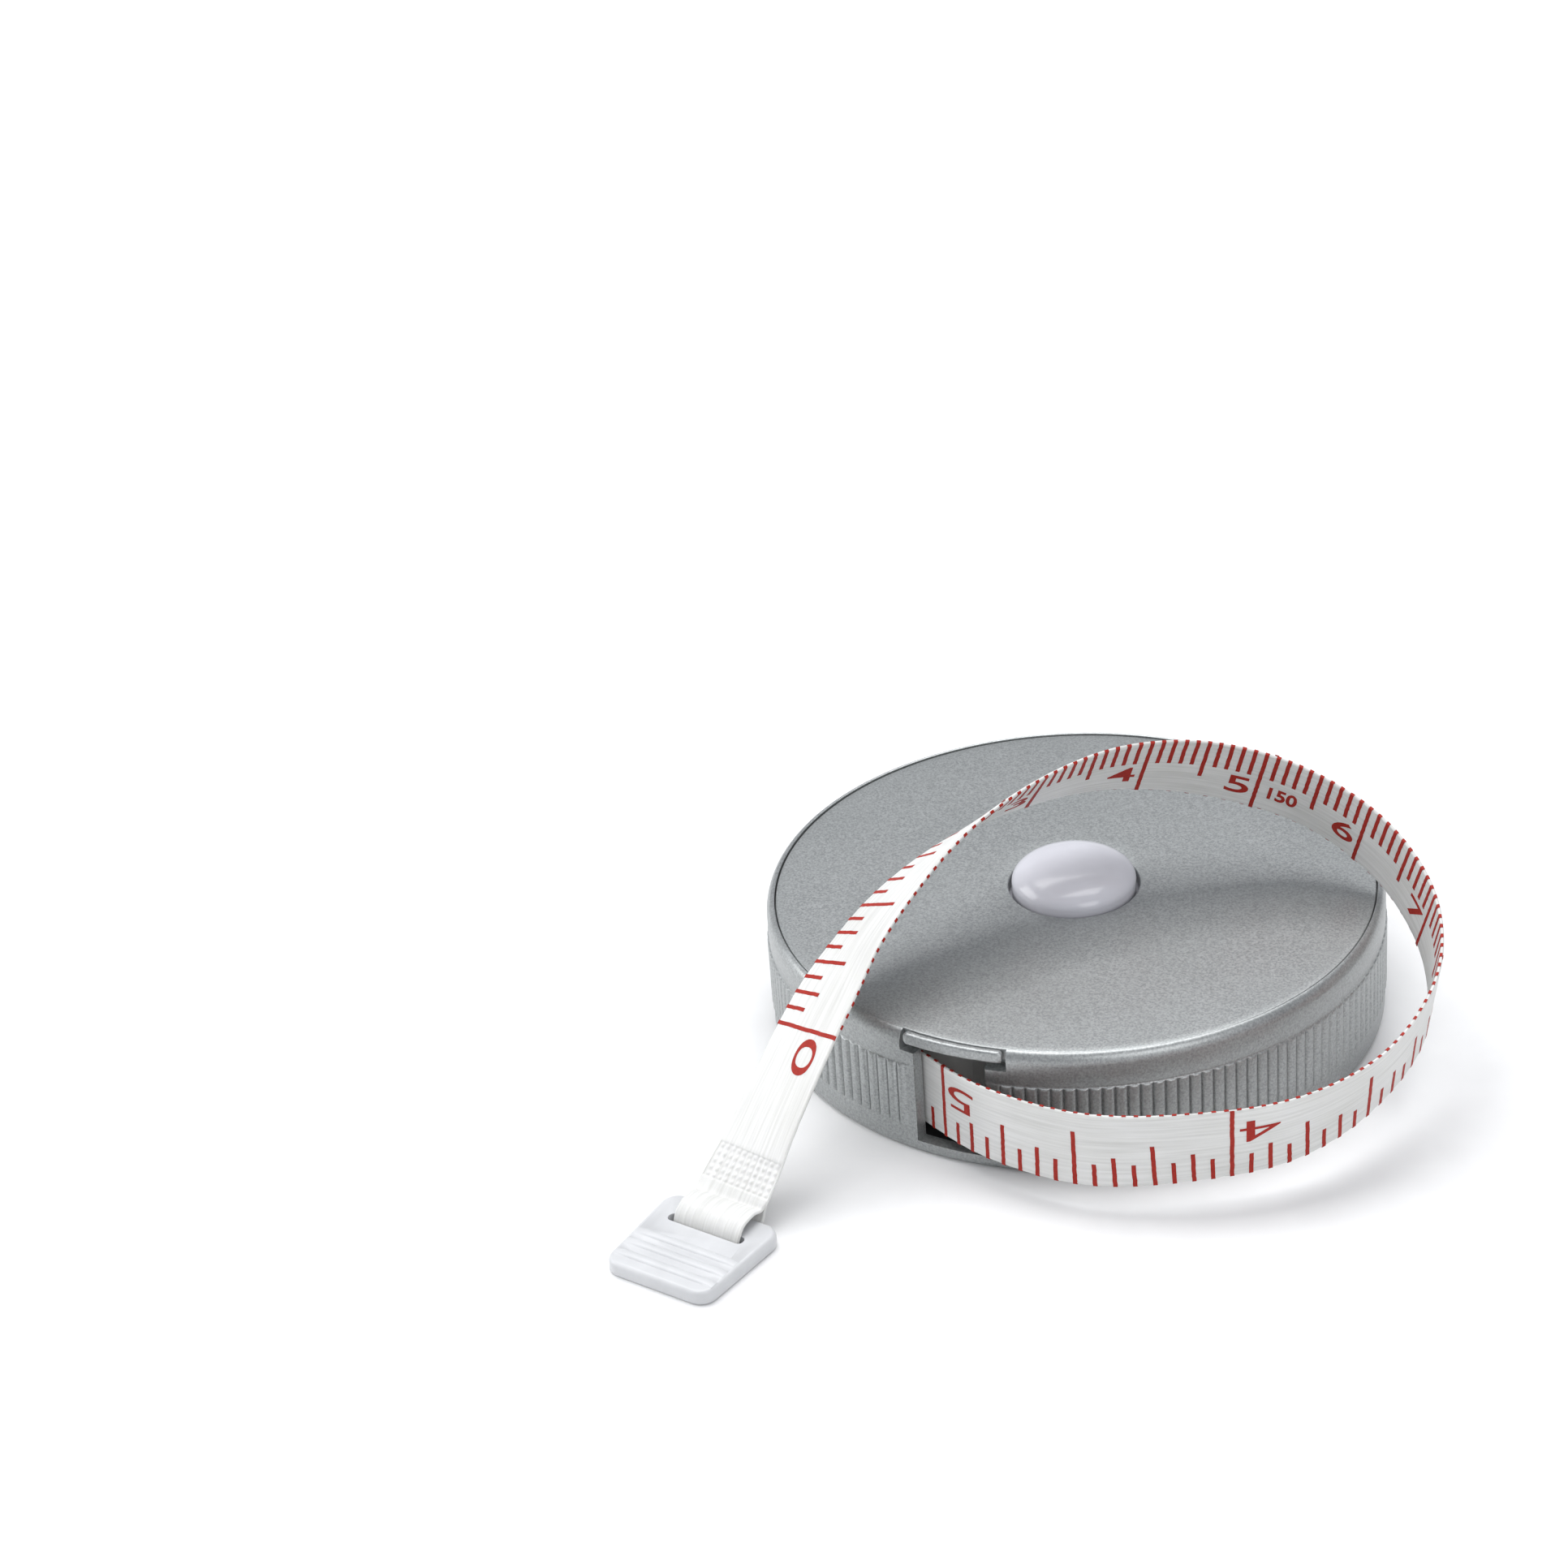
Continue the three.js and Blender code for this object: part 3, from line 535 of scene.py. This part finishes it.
def arc(centre_r, centre_z, radius_r, radius_z, start, end, steps):
    """Points on a quarter-round or any other arc of the outline, as radius and height."""
    turns = [math.radians(start + (end - start) * k / steps) for k in range(steps + 1)]
    return [(centre_r + radius_r * math.cos(t), centre_z + radius_z * math.sin(t)) for t in turns]


def rib_height(angle, z):
    """How far the wall stands off the smooth band: up on a rib's back, down in a groove."""
    near_mouth = min(abs(angle - MOUTH[0]), abs(angle - MOUTH[1]), abs(angle - (MOUTH[0] + MOUTH[1]) / 2))
    fade = smooth(near_mouth, RIB_FREE * 0.55, RIB_FREE)
    share = (angle * RIBS / (2 * math.pi)) % 1
    back = 1 - abs(2 * share - 1) ** 3.6
    end = min(z - RIB_FROM, RIB_TO - z)
    if end <= 0:
        return 0.0
    ramp = math.sqrt(1 - (1 - min(end / RIB_END, 1)) ** 2)
    return float(fade) * ramp * ((CASE_RADIUS - BAND_RADIUS + GROOVE_DEPTH) * back - GROOVE_DEPTH)


rib_levels = [RIB_FROM - 0.02 * MM] + [RIB_FROM + RIB_END * k for k in (0.0, 0.04, 0.15, 0.35, 0.65, 1.0)]
rib_levels += [4.5 * MM, 6.5 * MM] + [RIB_TO - RIB_END * k for k in (1.0, 0.65, 0.35, 0.15, 0.04, 0.0)]
outline = [(0.0, 0.0), (FLOOR_RING, 0.0)]
outline += arc(BAND_RADIUS - FOOT_ROUND, FOOT_ROUND, FOOT_ROUND, FOOT_ROUND, -90, 0, 7)
outline += [(BAND_RADIUS, z) for z in rib_levels]
outline += [(BAND_RADIUS - LINE_DEPTH, RIB_TO + 0.1 * MM), (BAND_RADIUS - LINE_DEPTH, RIB_TO + 0.2 * MM)]
outline += [(BAND_RADIUS, RIB_TO + 0.32 * MM), (BAND_RADIUS, BAND_TOP)]
outline += arc(SEAT_RADIUS, CASE_HEIGHT - RIM_ROUND, BAND_RADIUS - SEAT_RADIUS, RIM_ROUND, 0, 82, 9)
outline += [(SEAT_RADIUS, CASE_HEIGHT - 0.06 * MM), (SEAT_RADIUS, SEAT_HEIGHT), (INNER_RADIUS, SEAT_HEIGHT)]
outline += [(INNER_RADIUS, FLOOR), (FLOOR_RING, FLOOR), (0.0, FLOOR)]


def revolve(outline, columns, radius=lambda r, z, angle: r):
    """A body turned about the case's axis; an outline that starts and ends on the axis is closed there."""
    vertices, faces = [], []
    inner = outline[1:-1] if outline[0][0] == 0 else outline
    for c in range(columns):
        angle = 2 * math.pi * c / columns
        for r, z in inner:
            at = radius(r, z, angle)
            vertices.append((at * math.cos(angle), at * math.sin(angle), z))
    n = len(inner)
    closed = outline[0][0] != 0
    for c in range(columns):
        d = (c + 1) % columns
        for i in range(n if closed else n - 1):
            j = (i + 1) % n
            faces.append((c * n + i, d * n + i, d * n + j, c * n + j))
    if not closed:
        for i, z in ((0, outline[0][1]), (n - 1, outline[-1][1])):
            vertices.append((0, 0, z))
            middle = len(vertices) - 1
            faces += [(middle, ((c + 1) % columns) * n + i, c * n + i) for c in range(columns)]
    return vertices, faces


def wall_radius(r, z, angle):
    """The radius of a point of the wall once the ribs stand on it."""
    turned = (angle + math.pi) % (2 * math.pi) - math.pi
    on_wall = r > BAND_RADIUS - 0.06 * MM and RIB_FROM <= z <= RIB_TO
    return r + rib_height(turned, z) if on_wall else r


case = new_piece("case", *revolve(outline, RIBS * RIB_STEPS, wall_radius), None, 50)


def cutter(inner, outer, angles, low, high, flare):
    """A block for cutting through the wall between two angles, flared where it meets the outside."""
    plan = []
    reaches = [(inner, 0), (outer - flare, 0), (outer - 0.3 * flare, 0.3 * flare)]
    reaches += [(outer, flare), (outer + MM, flare)]
    for r, spread in reaches:
        plan.append((r, angles[0] - spread / r, angles[1] + spread / r))
    vertices, faces = [], []
    for k in range(CUT_STEPS + 1):
        for r, start, end in plan:
            angle = start + (end - start) * k / CUT_STEPS
            for z in (low, high):
                vertices.append((r * math.cos(angle), r * math.sin(angle), z))
    n = 2 * len(plan)
    loop = [2 * i for i in range(len(plan))] + [2 * i + 1 for i in reversed(range(len(plan)))]
    for k in range(CUT_STEPS):
        for a, b in zip(loop, loop[1:] + loop[:1]):
            faces.append((k * n + a, k * n + b, (k + 1) * n + b, (k + 1) * n + a))
    faces += [tuple(loop), tuple(CUT_STEPS * n + i for i in reversed(loop))]
    return new_piece("cutter", vertices, faces, None)


def cut(piece, tool, operation="DIFFERENCE"):
    """Cuts one closed mesh with another, which is then thrown away."""
    change = piece.modifiers.new("cut", "BOOLEAN")
    change.object = tool
    change.operation = operation
    change.solver = "MANIFOLD"
    bpy.context.view_layer.update()
    result = bpy.data.meshes.new_from_object(piece.evaluated_get(bpy.context.evaluated_depsgraph_get()))
    result.materials.clear()
    piece.modifiers.clear()
    piece.data = result
    bpy.data.objects.remove(tool)


cut(case, cutter(CUT_FROM, BAND_RADIUS, MOUTH, MOUTH_SILL, CUT_TOP, MOUTH_FLARE))
cut(case, cutter(CUT_FROM, BAND_RADIUS, NOTCH, NOTCH_HEIGHT, CUT_TOP, NOTCH_FLARE))
case.data.set_sharp_from_angle(angle=math.radians(38))

# Satin silver paint: fine bright flakes in a grey lacquer, a little uneven, with a fine orange peel.
silver = Finish("silver paint")
place = silver.place()
flakes = silver.noise(place, 5200.0, 2.0, 0.7)
peel = silver.noise(place, 1500.0, 2.0)
haze = silver.noise(place, 90.0, 3.0)
flake_colour = silver.ramp(flakes, (0.34, (0.29, 0.301, 0.301)), (0.66, (0.437, 0.453, 0.453)))
haze_colour = silver.ramp(haze, (0.35, (0.95, 0.955, 0.955)), (0.7, (1, 1, 1)))
silver.put("Base Color", silver.multiply(flake_colour, haze_colour))
silver.put("Roughness", silver.spread(flakes, 0.30, 0.48))
silver.put("Metallic", 0.72)
silver.put("Normal", silver.bump(peel, 0.25, 0.02 * MM, silver.bump(flakes, 0.35, 0.01 * MM)))
case.data.materials.append(silver.made)

# Inside, the moulding is made near-black with a fine spark texture: painted shade that keeps the mouth and the
# bore dark.
inside_shade = Finish("painted shade inside")
spark = inside_shade.noise(inside_shade.place(), 2600.0, 3.0)
inside_shade.put("Base Color", inside_shade.ramp(spark, (0.3, (0.012, 0.012, 0.013)), (0.7, (0.022, 0.022, 0.023))))
inside_shade.put("Normal", inside_shade.bump(spark, 0.3, 0.02 * MM))
inside_shade.put("Roughness", 0.6)
case.data.materials.append(inside_shade.made)
# The faces of the inner bore and of the inside of the floor take the near-black painted shade.
for face in case.data.polygons:
    away = math.hypot(face.center.x, face.center.y)
    inward = face.normal.x * face.center.x + face.normal.y * face.center.y < 0
    bored = inward and away < INNER_RADIUS + 0.05 * MM and face.center.z < SEAT_HEIGHT
    if bored or (away < INNER_RADIUS and abs(face.center.z - FLOOR) < 0.01 * MM):
        face.material_index = 1
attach(case, "case")
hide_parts("case_body")


# ---------------------------------------------------------------- cover
# A moulded disc that snaps into the case's seat, slightly dished, with a hole for the button. In the
# case's notch it carries a lip, a rounded bar behind a groove, that closes the top of the mouth.
COVER_RADIUS = 25.76 * MM
COVER_TOP = 11.64 * MM
COVER_UNDER = 10.6 * MM
HOLE_RADIUS = 5.65 * MM
SKIRT_RADIUS = 25.35 * MM
LIP_INNER, LIP_OUTER = 25.95 * MM, 26.66 * MM
LIP = (math.radians(-99.35), math.radians(-80.5))
LIP_EDGE = 0.26 * MM
LIP_RINGS = 46
LIP_END = 0.3 * MM
HOLE_ROUND, COVER_ROUND = 0.15 * MM, 0.12 * MM
SKIRT_DEPTH, SKIRT_WALL = 0.6 * MM, 0.7 * MM
# the dish: millimetres out from the axis, and the height there in hundredths of a millimetre
COVER_DISH = [(8, 0), (14, 0), (18.5, 0), (20.2, -0.3), (21.5, -1.5), (23.5, -4.2), (25.0, -6.3)]

skirt_inner, skirt_foot = SKIRT_RADIUS - SKIRT_WALL, COVER_UNDER - SKIRT_DEPTH
cover_outline = arc(HOLE_RADIUS + HOLE_ROUND, COVER_TOP - 0.16 * MM, HOLE_ROUND, HOLE_ROUND, 180, 90, 4)
cover_outline += [(r * MM, COVER_TOP + 0.01 * MM * dish) for r, dish in COVER_DISH]
cover_outline += arc(COVER_RADIUS - COVER_ROUND, COVER_TOP - 0.2 * MM, COVER_ROUND, COVER_ROUND, 90, 0, 4)
cover_outline += [(COVER_RADIUS, COVER_UNDER), (SKIRT_RADIUS, COVER_UNDER), (SKIRT_RADIUS, skirt_foot)]
cover_outline += [(skirt_inner, skirt_foot), (skirt_inner, COVER_UNDER), (HOLE_RADIUS, COVER_UNDER)]
cover = new_piece("cover", *revolve(cover_outline, 256), None, 50)


def bar_section(inner, outer, low, high, edge, steps=5):
    """A rectangle with rounded corners, as radius and height."""
    right, left, top, foot = outer - edge, inner + edge, high - edge, low + edge
    corners = ((right, top, 0), (left, top, 90), (left, foot, 180), (right, foot, 270))
    return [p for r, z, start in corners for p in arc(r, z, edge, edge, start, start + 90, steps)]


section = bar_section(LIP_INNER, LIP_OUTER, COVER_UNDER, CASE_HEIGHT - 0.02 * MM, LIP_EDGE)
middle_r, middle_z = (LIP_INNER + LIP_OUTER) / 2, (COVER_UNDER + CASE_HEIGHT) / 2
lip_points = []
for k in range(LIP_RINGS):
    share = k / (LIP_RINGS - 1)
    end = min(share, 1 - share) * (LIP[1] - LIP[0]) * middle_r
    shrink = 1 - 0.35 * (1 - min(end / LIP_END, 1)) ** 2
    angle = LIP[0] + (LIP[1] - LIP[0]) * share
    wave = 0.02 * MM * math.sin(share * 31) + 0.015 * MM * math.sin(share * 73 + 1)
    for r, z in section:
        at = middle_r + (r - middle_r) * shrink + (wave if r > middle_r else 0) * 0.5
        tall = middle_z + (z - middle_z) * shrink + (wave if z > middle_z else 0) * 0.5
        lip_points.append((at * math.cos(angle), at * math.sin(angle), tall))
lip = new_piece("lip", lip_points, tube_faces(LIP_RINGS, len(section)), None, 50)
web_angles = (LIP[0] + 0.004, LIP[1] - 0.004)
web = cutter(COVER_RADIUS - MM, LIP_INNER - 0.6 * MM, web_angles, COVER_UNDER, COVER_TOP - 0.5 * MM, 0.0)
cut(cover, web, "UNION")
cut(cover, lip, "UNION")
cover.data.set_sharp_from_angle(angle=math.radians(38))
cover.data.materials.append(silver.made)
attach(cover, "case")
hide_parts("top_cover")


# ---------------------------------------------------------------- push button
# A glossy white moulded cap, domed on top, with a flange that keeps it under the cover. Pressing it
# lifts the brake off the reel.
BUTTON_RADIUS = 5.35 * MM
BUTTON_FOOT = 9.95 * MM
BUTTON_TOP = 14.0 * MM
DOME_FROM = 12.0 * MM
DOME_STEPS = 24
DOME_FULLNESS = 0.86
FLANGE_RADIUS = 6.28 * MM
FLANGE_TOP = BUTTON_FOOT + 0.45 * MM

button_outline = [(0.0, BUTTON_FOOT), (FLANGE_RADIUS, BUTTON_FOOT), (FLANGE_RADIUS, FLANGE_TOP)]
button_outline += [(BUTTON_RADIUS, FLANGE_TOP), (BUTTON_RADIUS, DOME_FROM)]
for k in range(1, DOME_STEPS):
    turn = math.radians(90 * k / DOME_STEPS)
    dome_height = DOME_FROM + (BUTTON_TOP - DOME_FROM) * math.sin(turn)
    button_outline.append((BUTTON_RADIUS * math.cos(turn) ** DOME_FULLNESS, dome_height))
button_outline.append((0.0, BUTTON_TOP))
button = new_piece("button", *revolve(button_outline, 128), None, 40)

# Polished white plastic, very slightly blue, with the faintest moulding ripple.
gloss = Finish("glossy white plastic")
place = gloss.place()
ripple = gloss.noise(place, 260.0, 2.0)
dust = gloss.noise(place, 4200.0, 3.0)
gloss.put("Base Color", gloss.ramp(ripple, (0.3, (0.53, 0.53, 0.57)), (0.7, (0.575, 0.575, 0.62))))
gloss.put("Roughness", gloss.spread(dust, 0.14, 0.24))
gloss.put("Normal", gloss.bump(ripple, 0.12, 0.08 * MM))
gloss.glow(0.08, (0.6 * MM, 0.6 * MM, 0.6 * MM))
button.data.materials.append(gloss.made)
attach(button, "button")
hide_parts("button_cap")


# ---------------------------------------------------------------- pull tab
# A white moulded plate with rounded edges, a slot for the tape with a bar behind it, and three low
# ridges across it for the fingers.
# All in millimetres, along the tab from its far edge, across it and up.
TAB_LENGTH = 10.4
TAB_HALF_FAR, TAB_HALF_NEAR = 5.5, 5.1
TAB_THICK = 1.3
TAB_CORNER = 1.5
TAB_EDGE, TAB_FOOT_EDGE = 0.42, 0.25
SLOT_FROM, SLOT_TO, SLOT_HALF = 2.55, 3.5, 3.65
SLOT_CORNER = 0.42
RECESS_HEIGHT = 0.5
RIDGES = (5.75, 7.25, 8.8)
RIDGE_HEIGHT = 0.16
RIDGE_HALF = 0.42
RIDGE_ROOT = 0.3
RIDGE_MARGIN = 0.25
RIDGE_RINGS = 13


def rounded_plan(half_far, half_near, start, end, corner, inset, steps=8):
    """The plate's outline seen from above, as distance along and across."""
    points = []
    corners = ((end, half_near, 0), (start, half_far, 90), (start, -half_far, 180), (end, -half_near, 270))
    for u, v, begin in corners:
        su, sv = (-1 if u == end else 1), (-1 if v > 0 else 1)
        centre = (u + su * corner, v + sv * corner)
        radius = corner - inset
        for k in range(steps + 1):
            turn = math.radians(begin + 90 * k / steps)
            points.append((centre[0] + radius * math.cos(turn), centre[1] + radius * math.sin(turn)))
    return points


def rounded_plate(name, plan, high, edge, foot_edge):
    """A plate standing on the table, with its upper and lower edges rounded over."""
    layers = []
    for k in range(6):
        turn = math.pi / 2 * k / 5
        layers.append((foot_edge - foot_edge * math.sin(turn), foot_edge * (1 - math.cos(turn))))
    for k in range(8):
        turn = math.pi / 2 * k / 7
        layers.append((edge - edge * math.cos(turn), high - edge + edge * math.sin(turn)))
    points = [on_tab(u, v, z) for inset, z in layers for u, v in plan(inset)]
    return new_piece(name, points, tube_faces(len(layers), len(plan(0))), None, 60)


def tab_plan(inset):
    return rounded_plan(TAB_HALF_FAR, TAB_HALF_NEAR, 0, TAB_LENGTH, TAB_CORNER, inset)


def tab_cutter(plan, low, high):
    """A block for cutting into the tab, with straight sides."""
    points = [on_tab(u, v, z) for z in (low, high) for u, v in plan]
    return new_piece("cutter", points, tube_faces(2, len(plan)), None)


tab = rounded_plate("tab", tab_plan, TAB_THICK, TAB_EDGE, TAB_FOOT_EDGE)
cut(tab, tab_cutter(rounded_plan(SLOT_HALF, SLOT_HALF, SLOT_FROM, SLOT_TO, SLOT_CORNER, 0), -1, 3))
recess = [(-1, -SLOT_HALF), (SLOT_TO, -SLOT_HALF), (SLOT_TO, SLOT_HALF), (-1, SLOT_HALF)]
cut(tab, tab_cutter(recess, -1, RECESS_HEIGHT))
ridge_reach = TAB_HALF_NEAR - RIDGE_MARGIN
for u in RIDGES:
    ridge_points = []
    for k in range(RIDGE_RINGS):
        v = -ridge_reach + 2 * ridge_reach * k / (RIDGE_RINGS - 1)
        ease = 1 - 0.9 * max(0, abs(v) / ridge_reach - 0.9) * 10
        for turn in np.radians(np.arange(0, 360, 30)):
            height = RIDGE_HEIGHT * ease if math.sin(turn) > 0 else RIDGE_ROOT
            ridge_points.append(on_tab(u + RIDGE_HALF * math.cos(turn), v, TAB_THICK + height * math.sin(turn)))
    ridge = new_piece("ridge", ridge_points, tube_faces(RIDGE_RINGS, 12), None)
    cut(tab, ridge, "UNION")
tab.data.set_sharp_from_angle(angle=math.radians(50))

# White plastic, satin from the mould, with a fine scuff.
moulded = Finish("white tab plastic")
place = moulded.place()
cast = moulded.noise(place, 420.0, 3.0)
scuff = moulded.noise(place, 3600.0, 3.0)
cast_colour = moulded.ramp(cast, (0.3, (0.555, 0.562, 0.574)), (0.7, (0.605, 0.612, 0.624)))
moulded.put("Base Color", cast_colour)
moulded.put("Roughness", moulded.spread(scuff, 0.26, 0.4))
moulded.put("Normal", moulded.bump(scuff, 0.12, 0.01 * MM, moulded.bump(cast, 0.18, 0.06 * MM)))
moulded.glow(0.1, (0.6 * MM, 0.6 * MM, 0.6 * MM))
tab.data.materials.append(moulded.made)
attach(tab, "tab")
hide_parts("end_tab")


# ---------------------------------------------------------------- mechanism
# Behind the mouth and under the button: a moulded nylon post, reel and pegs, spring steel strip and
# wire, a brass bush, and a rubber ring on a steel brake plate. The wound tape lies on the drum. The
# button's return spring stands in the post and is given a mesh of its own.
FINISH_VARIES = 0.06


def inner_finish(name, low, high, grain, roughness, metallic, relief):
    """A material for an inner part: colour and finish vary a little over its surface."""
    finish = Finish(name)
    place = finish.place()
    fine = finish.noise(place, grain, 3.0)
    broad = finish.noise(place, 300.0, 2.0)
    finish.put("Base Color", finish.ramp(broad, (0.3, low), (0.7, high)))
    finish.put("Roughness", finish.spread(fine, roughness - FINISH_VARIES, roughness + FINISH_VARIES))
    finish.put("Normal", finish.bump(fine, 0.25, relief))
    finish.put("Metallic", metallic)
    return finish.made


def paint_nodes(made, *names):
    for name in names:
        shown = bpy.data.objects[name]
        shown.data.materials.clear()
        shown.data.materials.append(made)


nylon = inner_finish("nylon", (0.50, 0.49, 0.45), (0.56, 0.55, 0.51), 2200.0, 0.5, 0.0, 0.01 * MM)
steel = inner_finish("spring steel", (0.42, 0.43, 0.45), (0.52, 0.53, 0.55), 3000.0, 0.3, 1.0, 0.005 * MM)
brass = inner_finish("brass", (0.48, 0.35, 0.13), (0.56, 0.42, 0.17), 2800.0, 0.34, 1.0, 0.005 * MM)
rubber = inner_finish("brake rubber", (0.012, 0.012, 0.012), (0.02, 0.02, 0.02), 3400.0, 0.8, 0.0, 0.02 * MM)
wound = inner_finish("wound tape", (0.66, 0.66, 0.63), (0.76, 0.76, 0.74), 1800.0, 0.45, 0.0, 0.02 * MM)
paint_nodes(nylon, "arbor_post", "reel_drum", "reel_lid", "reel_peg_1", "reel_peg_2", "reel_peg_3")
paint_nodes(steel, "post_circlip", "return_spring", "power_spring", "button_stem")
paint_nodes(steel, "brake_plate", "tape_anchor")
paint_nodes(brass, "reel_bush")
paint_nodes(rubber, "brake_ring")
paint_nodes(wound, "tape_roll")
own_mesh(bpy.data.objects["return_spring"])


# ---------------------------------------------------------------- table and lights
# A pale table top under a faintly blue room, lit by three large soft lamps: over the case, from the
# left and from the right.
TABLE_SIZE = 4
LIT_PLACE = Vector((0, 0, 0.01))
ROOM_COLOUR, ROOM_STRENGTH = (0.9, 0.93, 1, 1), 0.42

bpy.ops.mesh.primitive_plane_add(size=TABLE_SIZE)
table = bpy.context.object
table.name = "table"
paper = Finish("pale table")
grain = paper.node("TexNoise", {"Scale": 800.0, "Detail": 2.0}).outputs["Fac"]
paper.put("Base Color", paper.ramp(grain, (0.3, (0.82, 0.82, 0.82)), (0.7, (0.85, 0.85, 0.85))))
paper.put("Roughness", 0.7)
table.data.materials.append(paper.made)


def lamp(name, place, size, power):
    """A rectangular soft lamp that faces the case; its size is in metres and its power in watts."""
    data = bpy.data.lights.new(name, "AREA")
    data.shape = "RECTANGLE"
    data.size, data.size_y = size
    data.energy = power
    made = bpy.data.objects.new(name, data)
    bpy.context.scene.collection.objects.link(made)
    made.location = place
    made.rotation_euler = (LIT_PLACE - Vector(place)).to_track_quat("-Z", "Y").to_euler()


lamp("lamp_over", (-0.1, 0.15, 0.7), (0.7, 0.6), 5.3)
lamp("lamp_left", (-0.7, -0.2, 0.35), (0.5, 0.5), 3.1)
lamp("lamp_right", (0.6, -0.5, 0.45), (0.5, 0.5), 2.3)
bpy.context.scene.view_settings.view_transform = "Standard"
room = bpy.data.worlds.new("studio")
bpy.context.scene.world = room
room.use_nodes = True
room.node_tree.nodes["Background"].inputs["Color"].default_value = ROOM_COLOUR
room.node_tree.nodes["Background"].inputs["Strength"].default_value = ROOM_STRENGTH
